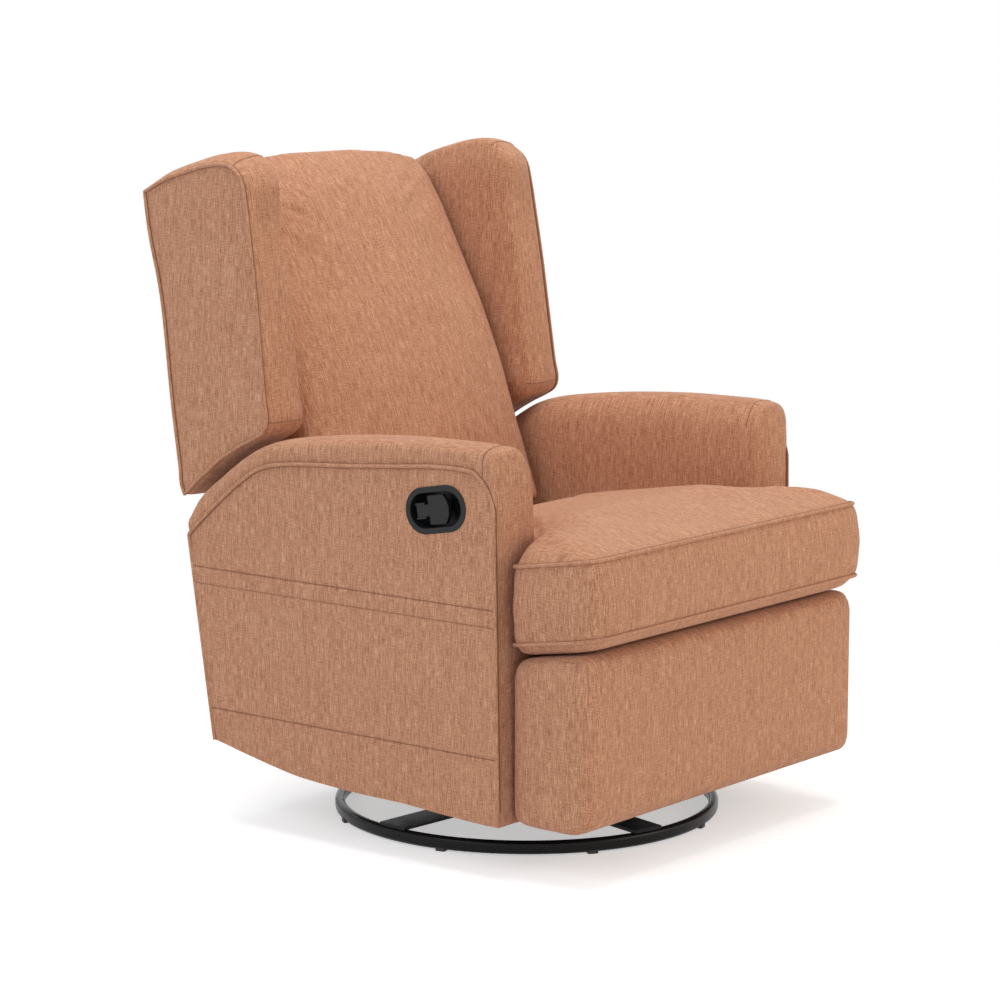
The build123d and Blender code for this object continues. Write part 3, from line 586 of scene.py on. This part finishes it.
def footrest_ring(y, inset):
    high = seat_plane(y) - FOOT_BELOW_SEAT - inset * 0.85
    low, half = FOOT_LOW + inset, FOOT_HALF - inset
    corners = [(-half, low), (half, low), (half, high), (-half, high)]
    radii = [FOOT_LOW_RADIUS + inset * 0.5] * 2 + [FOOT_HIGH_RADIUS + inset * 0.5] * 2
    line = rounded(corners, radii, 0, count=220)
    return np.column_stack([line[:, 0], np.full(len(line), y), line[:, 1]])


def foot_spine(y):
    return (-FOOT_SPINE_HALF, y, FOOT_SPINE_Z), (FOOT_SPINE_HALF, y, FOOT_SPINE_Z)


foot_rings = [footrest_ring(*layer) for layer in smooth(FOOT_LAYERS, 5.0)]
foot_front = cap_rings(foot_rings[-1], foot_spine(-394), 12, (0, -FOOT_CROWN, 0))
foot_rear = cap_rings(foot_rings[0], foot_spine(-251), 6, (0, 0, 0))
footrest = skin("footrest_cover", foot_rear[::-1] + foot_rings + foot_front, "footrest")
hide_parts("footrest_pad")
print("footrest cover:", len(footrest.data.polygons), "faces")

# %% [markdown]
# ## Seat and back cushions
# These are loose shapes: foam in wadding in a sewn case. The sewn case is what a cloth solver is
# for. The frame's own solid is copied, remade of even quads, and blown up gently from inside while
# its seams are held, so the panels swell between them. How far a point may move is capped, and
# nothing may move into an arm, a wing or the mechanism.

# %% Blow a cushion up
VOXEL = 0.006
CUSHION_SHARP_DEGREES = 80
CLOTH_STEPS = 20
HELD_STEPS = (0.25, 0.5, 0.75, 1.0)


def even_copy(name, node, body, smoothing):
    """A copy of a CAD solid, rebuilt of even quads and rubbed smooth."""
    source = frame["nodes"][node]
    piece = bpy.data.objects.new(name, source.data.copy())
    bpy.context.scene.collection.objects.link(piece)
    remesh = piece.modifiers.new("even quads", "REMESH")
    remesh.mode = "VOXEL"
    remesh.voxel_size = VOXEL
    rub = piece.modifiers.new("rub smooth", "SMOOTH")
    rub.iterations = smoothing
    apply_modifiers(piece)
    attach(piece, body)
    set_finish(piece, "upholstery")
    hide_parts(node)
    return piece


def places_of(mesh):
    """A mesh's points as an (n, 3) array, in metres."""
    co = np.empty(len(mesh.vertices) * 3)
    mesh.vertices.foreach_get("co", co)
    return co.reshape(-1, 3)


def blow_up(piece, held, allowed, cap, pressure):
    """Cloth with pressure, held where `held` is 1; moves are capped and passed to `allowed`."""
    start = places_of(piece.data)
    group = piece.vertex_groups.new(name="held")
    for weight in HELD_STEPS:
        members = np.flatnonzero(np.abs(held - weight) <= HELD_STEPS[0] / 2)
        group.add([int(i) for i in members], weight, "REPLACE")
    cloth = piece.modifiers.new("cloth", "CLOTH")
    settings = cloth.settings
    settings.use_pressure = True
    settings.uniform_pressure_force = pressure
    settings.effector_weights.gravity = 0.0
    settings.vertex_group_mass = "held"
    settings.quality = 5
    settings.tension_stiffness = settings.compression_stiffness = 12.0
    settings.bending_stiffness = 0.6
    cloth.collision_settings.use_collision = False
    scene = bpy.context.scene
    for step in range(1, CLOTH_STEPS + 1):
        scene.frame_set(step)
    graph = bpy.context.evaluated_depsgraph_get()
    moved = places_of(piece.evaluated_get(graph).data)
    piece.modifiers.remove(cloth)
    piece.vertex_groups.clear()
    scene.frame_set(1)
    travel = moved - start
    length = np.linalg.norm(travel, axis=1)[:, None]
    travel *= np.minimum(1, cap / np.maximum(length, 1e-9))
    piece.data.vertices.foreach_set("co", allowed(start, start + travel).ravel())
    most = np.linalg.norm(travel, axis=1).max() * 1000
    print(piece.name, "swelled by up to", round(float(most), 1), "mm")


def subdivide_once(piece):
    """One subdivision, for a smooth skin after the cloth solver."""
    finer = piece.modifiers.new("finer", "SUBSURF")
    finer.levels = finer.render_levels = 1
    apply_modifiers(piece)
    finish_mesh(piece, CUSHION_SHARP_DEGREES)


# %% [markdown]
# The seat is a T cushion: its two ears reach in front of the arms. Two welts run round it, and the
# band between them is the boxing, which leans: its lower edge stands a little in front.

# %% Seat cushion
EAR_HALF, BODY_HALF, NOTCH_Y, SEAT_REAR = 356.0, 280.0, -251.0, 166.0
WELT_LEVELS = (20.0, 136.0)
BOXING_LEAN = 7.0
SEAT_RADII = [37, 37, 14, 7, 33, 33, 7, 14]
SEAT_SMOOTHING, SEAT_SWELL, SEAT_PRESSURE = 4, 0.012, 4.0
HELD_REACH, HELD_BELOW = 0.010, 12  # metres round a welt, millimetres above the underside
EAR_LIMIT, BODY_LIMIT, CREASE_INSET = 0.367, 0.2845, 2.0


def seat_outline(level):
    """The T-shaped plan of the cushion at one level above its underside."""
    low, high = WELT_LEVELS
    ear, body = EAR_HALF, BODY_HALF
    front = SEAT_FRONT - BOXING_LEAN * (high - level) / (high - low)
    plan = [(-ear, front), (ear, front), (ear, NOTCH_Y), (body, NOTCH_Y), (body, SEAT_REAR),
            (-body, SEAT_REAR), (-body, NOTCH_Y), (-ear, NOTCH_Y)]
    line = rounded(plan, SEAT_RADII, 5.0)
    heights = np.array([seat_plane(y) for y in line[:, 1]]) + level
    return np.column_stack([line, heights])


def distance_to(points, line):
    """Distance of each point from the nearest point of a line."""
    result = np.full(len(points), 1e9)
    for place in line:
        result = np.minimum(result, np.linalg.norm(points - place, axis=1))
    return result


def underside_at(places):
    """Height of the seat's underside below each place in metres, in millimetres."""
    return np.array([seat_plane((y - SWIVEL_Y) * 1000) for y in places[:, 1]])


def frame_y(y):
    return at([0, y, 0])[1]


def seat_allowed(start, moved):
    """Keeps the blown-up seat off the arms, the timber below and the back."""
    moved[:, 2] = np.maximum(moved[:, 2], underside_at(moved) * 0.001)
    widest = np.where(moved[:, 1] > frame_y(NOTCH_Y - 2), BODY_LIMIT, EAR_LIMIT)
    moved[:, 0] = np.clip(moved[:, 0], -widest, widest)
    moved[:, 1] = np.clip(moved[:, 1], frame_y(SEAT_FRONT - 14), frame_y(SEAT_REAR + 2))
    return moved


seat = even_copy("seat_cushion_cover", "seat_cushion", "chair_body", SEAT_SMOOTHING)
welts = [seat_outline(level) for level in WELT_LEVELS]
seat_places = places_of(seat.data)
near_welt = np.minimum(*[distance_to(seat_places, at(line[::2])) for line in welts])
held = np.clip(1.6 - near_welt / HELD_REACH, 0, 1)
held[seat_places[:, 2] * 1000 - underside_at(seat_places) < HELD_BELOW] = 1.0
blow_up(seat, held, seat_allowed, SEAT_SWELL, SEAT_PRESSURE)
subdivide_once(seat)
narrower = (1 - CREASE_INSET / EAR_HALF, 1 - CREASE_INSET / 285.0, 1)
for name, line in zip(("lower", "upper"), welts):
    middle = line.mean(axis=0)
    deeper = middle + (line - middle) * narrower
    piped(f"seat_cushion_{name}_welt", line, deeper, "chair_body", closed=True)
print("seat cushion:", len(seat.data.polygons), "faces")

# %% [markdown]
# The back cushion is one tall crowned pad between the wings, with no tufts. It is held at its
# rear face and along its sides, and swells to the front only.

# %% Back cushion
BACK_SMOOTHING, BACK_SWELL, BACK_PRESSURE, BACK_LIMIT = 14, 0.006, 2.0, 0.267


def back_allowed(start, moved):
    """Keeps the blown-up back off the wings, and lets it swell to the front only."""
    moved[:, 0] = np.clip(moved[:, 0], -BACK_LIMIT, BACK_LIMIT)
    moved[:, 1] = np.minimum(moved[:, 1], start[:, 1])
    return moved


back = even_copy("back_cushion_cover", "back_cushion", "backrest", BACK_SMOOTHING)
normals = np.empty(len(back.data.vertices) * 3)
back.data.vertices.foreach_get("normal", normals)
normals = normals.reshape(-1, 3)
faces_rear, faces_side = normals[:, 1] > 0.2, np.abs(normals[:, 0]) > 0.75
held = np.where(faces_rear | faces_side, 1.0, 0.0)
blow_up(back, held, back_allowed, BACK_SWELL, BACK_PRESSURE)
subdivide_once(back)
print("back cushion:", len(back.data.polygons), "faces")

# %% [markdown]
# ## Rear panels
# The outside back is one panel of cloth over a stretched liner. It follows the rear edge of the
# wings, and a welt frames it. Below it, between the arms, a short apron closes the chair's rear.

# %% Outside back and apron
REAR_LINE = [(390, 332), (394, 430), (399, 500), (405, 560), (424, 662), (448, 819), (481, 962)]
APRON_LINE = [(352, 140), (353.5, 195), (355.5, 260), (357, 326)]
BACK_THICK, BACK_CROWN = 12.0, 3.0
APRON_HALF, APRON_THICK, APRON_CROWN = ARM_INNER - 2.5, 14.0, 2.0
PANEL_COLUMNS = 40
FRAME_DEPTH, FRAME_CREASE = 1.5, (0, -1.8, 0)  # the welt lies a little inside the rear face


def outside_half(z):
    """Half the width of the outside back, which is wider below the wings."""
    return 281.0 - 11.0 * step_between(z, 500, 516)


def flat_panel(name, rear_line, half_of, thick, crown, body):
    """A panel of cloth over a liner: a front and a rear sheet of even quads, joined at the rim."""
    line = smooth(rear_line, 12.0)
    rings = []
    for y, z in line:
        half = half_of(z)
        x = np.linspace(-half, half, PANEL_COLUMNS)
        up = (z - line[0, 1]) / (line[-1, 1] - line[0, 1])
        lift = crown * np.clip(1 - (x / half) ** 6, 0, 1) * math.sin(math.pi * min(1, max(0, up))) ** 0.4
        rear = np.column_stack([x, y + lift, np.full(PANEL_COLUMNS, z)])
        front = np.column_stack([x[::-1], np.full(PANEL_COLUMNS, y - thick), np.full(PANEL_COLUMNS, z)])
        rings.append(np.vstack([rear, front]))
    ends = []
    for ring, (y, z) in ((rings[0], line[0]), (rings[-1], line[-1])):
        middle = ring.copy()
        middle[:, 1] = y - thick / 2
        ends.append(middle)
    return skin(name, [ends[0]] + rings + [ends[1]], body)


outside_back = flat_panel("outside_back_cover", REAR_LINE, outside_half, BACK_THICK, BACK_CROWN, "backrest")
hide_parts("outside_back")
side_line = [(outside_half(z) + 0.5, y - FRAME_DEPTH, z) for y, z in smooth(REAR_LINE, 8.0)]
top_y, top_z = REAR_LINE[-1]
frame_line = side_line + [(x, top_y - FRAME_DEPTH, top_z) for x in np.linspace(262, -262, 60)]
frame_line += [(-x, y, z) for x, y, z in side_line[::-1]]
frame_line = even(frame_line, 6.0)
piped("outside_back_welt", frame_line, frame_line + FRAME_CREASE, "backrest")
rear_apron = flat_panel("rear_apron_cover", APRON_LINE, lambda z: APRON_HALF, APRON_THICK, APRON_CROWN,
                        "chair_body")
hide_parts("rear_apron")
print("rear panels made")

# %% [markdown]
# ## Finishes
# Each finish is written as arithmetic on surfaces. A small class wraps a socket, so that `a * b`
# adds a Math node, and one method adds any other node. Numbers that hold all over a surface are
# set on the shader itself.

# %% A small language for shaders
class Value:
    """A number that changes over a surface; arithmetic on it adds Math nodes."""

    def __init__(self, shader, socket):
        self.shader, self.socket = shader, socket

    def math(self, operation, *values, clamp=False):
        settings = {"operation": operation, "use_clamp": clamp}
        node = self.shader.node("ShaderNodeMath", settings, dict(enumerate(values)))
        return Value(self.shader, node.outputs[0])

    def __add__(self, other):
        return self.math("ADD", self, other)

    def __radd__(self, other):
        return self.math("ADD", other, self)

    def __sub__(self, other):
        return self.math("SUBTRACT", self, other)

    def __rsub__(self, other):
        return self.math("SUBTRACT", other, self)

    def __mul__(self, other):
        return self.math("MULTIPLY", self, other)

    def __rmul__(self, other):
        return self.math("MULTIPLY", other, self)

    def clamped(self):
        return self.math("ADD", self, 0.0, clamp=True)

    def sine(self):
        return self.math("SINE", self)


class Shader:
    """A material with one Principled shader, built from sockets and values."""

    def __init__(self, name, **constants):
        self.material = bpy.data.materials.new(name)
        self.material.use_nodes = True
        self.tree = self.material.node_tree
        self.surface = self.tree.nodes["Principled BSDF"]
        for key, value in constants.items():
            self.surface.inputs[key.replace("_", " ")].default_value = value

    def node(self, kind, settings=None, sockets=None):
        node = self.tree.nodes.new(kind)
        for key, value in (settings or {}).items():
            if key == "stops":
                self.set_stops(node.color_ramp, value)
            else:
                setattr(node, key, value)
        for key, value in (sockets or {}).items():
            self.feed(node.inputs[key], value)
        return node

    def set_stops(self, ramp, stops):
        while len(ramp.elements) < len(stops):
            ramp.elements.new(0.5)
        for element, (place, colour) in zip(ramp.elements, stops):
            element.position = place
            element.color = (*colour, 1.0)

    def feed(self, socket, value):
        if isinstance(value, Value):
            value = value.socket
        if isinstance(value, bpy.types.NodeSocket):
            self.tree.links.new(value, socket)
        else:
            socket.default_value = value

    def threads(self):
        return self.node("ShaderNodeUVMap", {"uv_map": "threads"}).outputs["UV"]

    def place(self):
        return self.node("ShaderNodeTexCoord").outputs["Object"]

    def stretched(self, vector, factors):
        sockets = {0: vector, 1: factors}
        return self.node("ShaderNodeVectorMath", {"operation": "MULTIPLY"}, sockets).outputs[0]

    def noise(self, vector, scale, detail=2.0, roughness=0.5):
        sockets = {"Vector": vector, "Scale": scale, "Detail": detail, "Roughness": roughness}
        node = self.node("ShaderNodeTexNoise", sockets=sockets)
        return Value(self, node.outputs["Fac"])

    def ramp(self, value, stops):
        node = self.node("ShaderNodeValToRGB", {"stops": stops}, {"Fac": value})
        return node.outputs["Color"]

    def mix(self, factor, first, second):
        sockets = {"Factor": factor, 6: first, 7: second}
        node = self.node("ShaderNodeMix", {"data_type": "RGBA"}, sockets)
        return node.outputs[2]

    def bump(self, height, strength, distance):
        sockets = {"Height": height, "Strength": strength, "Distance": distance}
        bump = self.node("ShaderNodeBump", sockets=sockets)
        self.feed(self.surface.inputs["Normal"], bump.outputs[0])

    def use(self, **links):
        for key, value in links.items():
            self.feed(self.surface.inputs[key.replace("_", " ")], value)
        return self.material


print("shader helpers ready")

# %% [markdown]
# The cover is a plain weave of heathered yarn: each thread changes shade along its length, and
# thick places, called slubs, show as short upright dashes with a few level ones across them. Noise
# stretched along the threads gives both. The threads themselves are about a millimetre apart, so
# they go into the bump, where they catch the light in a close view.

# %% Upholstery cloth
def thread_wave(shader, vector, axis, pitch):
    """A wave across the threads of one direction."""
    separate = shader.node("ShaderNodeSeparateXYZ", sockets={0: vector})
    return (Value(shader, separate.outputs[axis]) * (2 * math.pi / pitch)).sine()


UPRIGHT_SLUBS, LEVEL_SLUBS, STREAKS = (620.0, 58.0, 1.0), (64.0, 580.0, 1.0), (190.0, 11.0, 1.0)
GRAIN_SCALE = 720.0
PITCHES = (0.0011, 0.0013)  # metres from thread to thread, upright and level
# SEAM_SHADE sets how dark the painted seam shade is, as a share of the weave's dark tone.
CONTRAST, SEAM_SHADE = 4.4, 0.45
SHEEN_TINT = (1.0, 0.86, 0.78, 1.0)


def cloth(name, dark, middle, light):
    shader = Shader(name, Roughness=0.92, Specular_IOR_Level=0.18, Sheen_Weight=0.25,
                    Sheen_Roughness=0.45, Sheen_Tint=SHEEN_TINT)
    uv = shader.threads()
    upright = shader.noise(shader.stretched(uv, UPRIGHT_SLUBS), 1.0, 2.0, 0.55)
    level = shader.noise(shader.stretched(uv, LEVEL_SLUBS), 1.0, 2.0, 0.55)
    streaks = shader.noise(shader.stretched(uv, STREAKS), 1.0, 2.0, 0.5)
    grain = shader.noise(uv, GRAIN_SCALE, 3.0, 0.75)
    tone = upright * 0.36 + level * 0.20 + grain * 0.56 + streaks * 0.14
    tone = ((tone - 0.63) * CONTRAST + 0.5).clamped()  # 0.63 is the sum's usual value
    woven = shader.ramp(tone, [(0.0, dark), (0.5, middle), (1.0, light)])
    # Pieces carrying a seam value mix the weave towards a darker tone: painted shade in the seams.
    depth = shader.node("ShaderNodeAttribute", {"attribute_name": "seam_depth"}).outputs["Fac"]
    colour = shader.mix(depth, woven, (*[c * SEAM_SHADE for c in dark], 1))
    weave = thread_wave(shader, uv, 0, PITCHES[0]) * thread_wave(shader, uv, 1, PITCHES[1])
    height = weave * 0.35 + upright * 0.8 + level * 0.6 + grain * 0.9
    shader.bump(height, 0.42, 0.0011)
    return shader.use(Base_Color=colour)


TERRACOTTA = cloth("terracotta weave", (0.345, 0.134, 0.068), (0.560, 0.260, 0.143), (0.775, 0.435, 0.270))
print("cloth finish:", TERRACOTTA.name)

# %% [markdown]
# Hard finishes are simpler. Powder coat is gloss with a faint orange peel, moulded plastic is
# satin with a fine etched grain, zinc is cloudy metal, dipped steel is dull black with scuffs that
# let grey through, and bare timber has long grain.

# %% Hard finishes
def coated(name, colour, rough, peel, scuff=0.0, metal=0.0, gloss=0.5):
    shader = Shader(name, Metallic=metal, Specular_IOR_Level=gloss)
    place = shader.place()
    cloud = shader.noise(place, 35.0, 4.0, 0.6)
    fine = shader.noise(place, 900.0, 2.0, 0.5)
    marks = shader.noise(shader.stretched(place, (30.0, 8.0, 30.0)), 3.0, 6.0, 0.7)
    worn = ((marks - 0.60) * 9.0).clamped() * scuff
    paler = tuple(min(1.0, c * 3.0 + 0.05) for c in colour)
    shade = shader.mix(worn, (*colour, 1), (*paler, 1))
    shader.bump(fine * peel + cloud * 0.3, 0.2, 0.0006)
    return shader.use(Base_Color=shade, Roughness=(cloud - 0.5) * 0.12 + rough)


def timber(name):
    shader = Shader(name, Roughness=0.7)
    place = shader.place()
    bands = shader.noise(shader.stretched(place, (14.0, 14.0, 2.2)), 4.0, 5.0, 0.6)
    pores = shader.noise(shader.stretched(place, (420.0, 420.0, 26.0)), 1.0, 2.0, 0.5)
    tone = (bands * 0.8 + pores * 0.2).clamped()
    colour = shader.ramp(tone, [(0.3, (0.36, 0.22, 0.11)), (0.55, (0.55, 0.37, 0.20)),
                                (0.75, (0.68, 0.49, 0.29))])
    shader.bump(pores + bands * 0.4, 0.25, 0.0005)
    return shader.use(Base_Color=colour)


def felt(name, dark, light, scale):
    shader = Shader(name, Roughness=0.95)
    place = shader.place()
    fibre = shader.noise(place, scale, 4.0, 0.75)
    broad = shader.noise(place, 20.0, 2.0, 0.5)
    colour = shader.ramp((fibre * 0.7 + broad * 0.3).clamped(), [(0.35, dark), (0.65, light)])
    shader.bump(fibre, 0.5, 0.001)
    return shader.use(Base_Color=colour)


FINISHES = {
    "base_paint": coated("gloss black powder coat", (0.008, 0.008, 0.009), 0.24, 0.5, 0.05, gloss=0.2),
    "glide_plastic": coated("matt black nylon", (0.025, 0.025, 0.025), 0.55, 0.9),
    "bearing_steel": coated("greased bearing steel", (0.42, 0.42, 0.43), 0.34, 0.4, 0.3, 1.0),
    "ball_steel": coated("polished ball steel", (0.78, 0.78, 0.79), 0.12, 0.1, 0.0, 1.0),
    "zinc_hardware": coated("bright zinc", (0.60, 0.60, 0.58), 0.36, 0.5, 0.2, 1.0),
    "mechanism_paint": coated("dipped black steel", (0.022, 0.022, 0.024), 0.46, 0.7, 0.35),
    "frame_wood": timber("bare hardwood"),
    "spring_steel": coated("oil tempered wire", (0.22, 0.22, 0.23), 0.38, 0.4, 0.4, 1.0),
    "deck_felt": felt("grey needled felt", (0.24, 0.23, 0.22), (0.48, 0.47, 0.45), 420.0),
    "webbing": felt("woven strap", (0.05, 0.05, 0.05), (0.16, 0.15, 0.15), 300.0),
    "handle_plastic": coated("satin black moulding", (0.012, 0.012, 0.013), 0.34, 1.0, 0.03, gloss=0.35),
    "cable_sheath": coated("black cable sheath", (0.02, 0.02, 0.02), 0.5, 0.6),
    "upholstery": TERRACOTTA,
}
for row in frame["record"]["subparts"]:
    node = frame["nodes"][row["node"]]
    node.data.materials.clear()
    node.data.materials.append(FINISHES[row["material_slot"]])
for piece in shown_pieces():
    if piece.get("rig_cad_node") is None:
        piece.data.materials.clear()
        piece.data.materials.append(FINISHES[piece["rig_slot"]])
print(len(FINISHES), "finishes given")

# %% [markdown]
# ## Studio
# The chair stands on a white sweep. The floor is a pale disc that keeps the soft shadow and fades
# into the white world around it. A warm light stands low in front, a cool one high on the left, a
# wide one hangs above, and the world adds an even light from all round.

# %% Floor and world
FLOOR_RADIUS, FLOOR_SIDES = 2.6, 96
FADE_START, FADE_RATE = 0.55, 0.9
FLOOR_LIFT = 0.48  # lightens the shadow as the camera sees it
AMBIENT = 0.56


def studio_floor():
    count = FLOOR_SIDES
    angles = np.linspace(0, 2 * math.pi, count, endpoint=False)
    circle = np.column_stack([np.cos(angles), np.sin(angles), np.zeros(count)])
    vertices = [tuple(v * FLOOR_RADIUS * share) for share in (1.0, 0.5) for v in circle] + [(0, 0, 0)]
    following = [(k, (k + 1) % count) for k in range(count)]
    faces = [(a, b, count + b, count + a) for a, b in following]
    faces += [(count + a, count + b, 2 * count) for a, b in following]
    mesh = bpy.data.meshes.new("studio_floor")
    mesh.from_pydata(vertices, [], faces)
    floor = bpy.data.objects.new("studio_floor", mesh)
    bpy.context.scene.collection.objects.link(floor)
    shader = Shader("white sweep", Roughness=0.9, Specular_IOR_Level=0.0, Base_Color=(0.86, 0.86, 0.86, 1))
    length = shader.node("ShaderNodeVectorMath", {"operation": "LENGTH"}, {0: shader.place()})
    fade = ((Value(shader, length.outputs["Value"]) - FADE_START) * FADE_RATE).clamped()
    path = shader.node("ShaderNodeLightPath")
    seen = Value(shader, path.outputs["Is Camera Ray"]) + Value(shader, path.outputs["Is Glossy Ray"])
    white = shader.node("ShaderNodeEmission", sockets={"Strength": 1.0})
    lift = shader.node("ShaderNodeEmission", sockets={"Strength": FLOOR_LIFT})
    sockets = {0: shader.surface.outputs[0], 1: lift.outputs[0]}
    lifted = shader.node("ShaderNodeAddShader", sockets=sockets)
    sockets = {0: fade, 1: lifted.outputs[0], 2: white.outputs[0]}
    faded = shader.node("ShaderNodeMixShader", sockets=sockets)
    sockets = {0: seen.clamped(), 1: shader.surface.outputs[0], 2: faded.outputs[0]}
    final = shader.node("ShaderNodeMixShader", sockets=sockets)
    shader.feed(shader.tree.nodes["Material Output"].inputs[0], final.outputs[0])
    mesh.materials.append(shader.material)


def white_world():
    """Even light from all round, and plain white to the camera and in reflections."""
    world = bpy.data.worlds.new("studio")
    bpy.context.scene.world = world
    world.use_nodes = True
    tree = world.node_tree
    lit = tree.nodes["Background"]
    lit.inputs["Color"].default_value = (0.97, 0.985, 1.0, 1.0)
    lit.inputs["Strength"].default_value = AMBIENT
    seen = tree.nodes.new("ShaderNodeBackground")
    seen.inputs["Color"].default_value = (1, 1, 1, 1)
    path = tree.nodes.new("ShaderNodeLightPath")
    blend = tree.nodes.new("ShaderNodeMixShader")
    sees_white = path.outputs["Is Camera Ray"]
    for kind in ("Is Glossy Ray", "Is Transmission Ray"):
        either = tree.nodes.new("ShaderNodeMath")
        either.operation = "ADD"
        either.use_clamp = True
        tree.links.new(sees_white, either.inputs[0])
        tree.links.new(path.outputs[kind], either.inputs[1])
        sees_white = either.outputs[0]
    tree.links.new(sees_white, blend.inputs[0])
    tree.links.new(lit.outputs[0], blend.inputs[1])
    tree.links.new(seen.outputs[0], blend.inputs[2])
    tree.links.new(blend.outputs[0], tree.nodes["World Output"].inputs[0])


studio_floor()
white_world()
print("floor and world made")

# %% Lights and camera
def softbox(name, place, target, size, power, colour):
    """A rectangular lamp that faces a target."""
    lamp = bpy.data.lights.new(name, "AREA")
    lamp.shape = "RECTANGLE"
    lamp.size, lamp.size_y = size
    lamp.energy = power
    lamp.color = colour
    light = bpy.data.objects.new(name, lamp)
    bpy.context.scene.collection.objects.link(light)
    light.location = place
    light.rotation_euler = (Vector(target) - Vector(place)).to_track_quat("-Z", "Y").to_euler()


softbox("key", (1.0, -2.9, 1.1), (0, 0, 0.35), (2.0, 1.4), 20.0, (1.0, 0.85, 0.68))
softbox("fill", (-3.8, -0.2, 2.9), (0, 0, 0.7), (2.6, 2.2), 46.0, (0.74, 0.87, 1.0))
softbox("top", (0.0, 0.2, 4.0), (0, 0, 0.6), (2.6, 2.6), 70.0, (1.0, 0.98, 0.95))

CAMERA_PLACE = (-4.0111, -3.2061, 1.3066)
CAMERA_TARGET = (0.00688, 0.01795, 0.49288)
CAMERA_LENS = 117.26
camera_data = bpy.data.cameras.new("camera")
camera_data.lens = CAMERA_LENS
camera_data.sensor_width = 36.0
camera = bpy.data.objects.new("camera", camera_data)
bpy.context.scene.collection.objects.link(camera)
camera.location = CAMERA_PLACE
aim = Vector(CAMERA_TARGET) - Vector(CAMERA_PLACE)
camera.rotation_euler = aim.to_track_quat("-Z", "Y").to_euler()
bpy.context.scene.camera = camera
bpy.context.scene.view_settings.view_transform = "Standard"
print("camera at", CAMERA_PLACE)
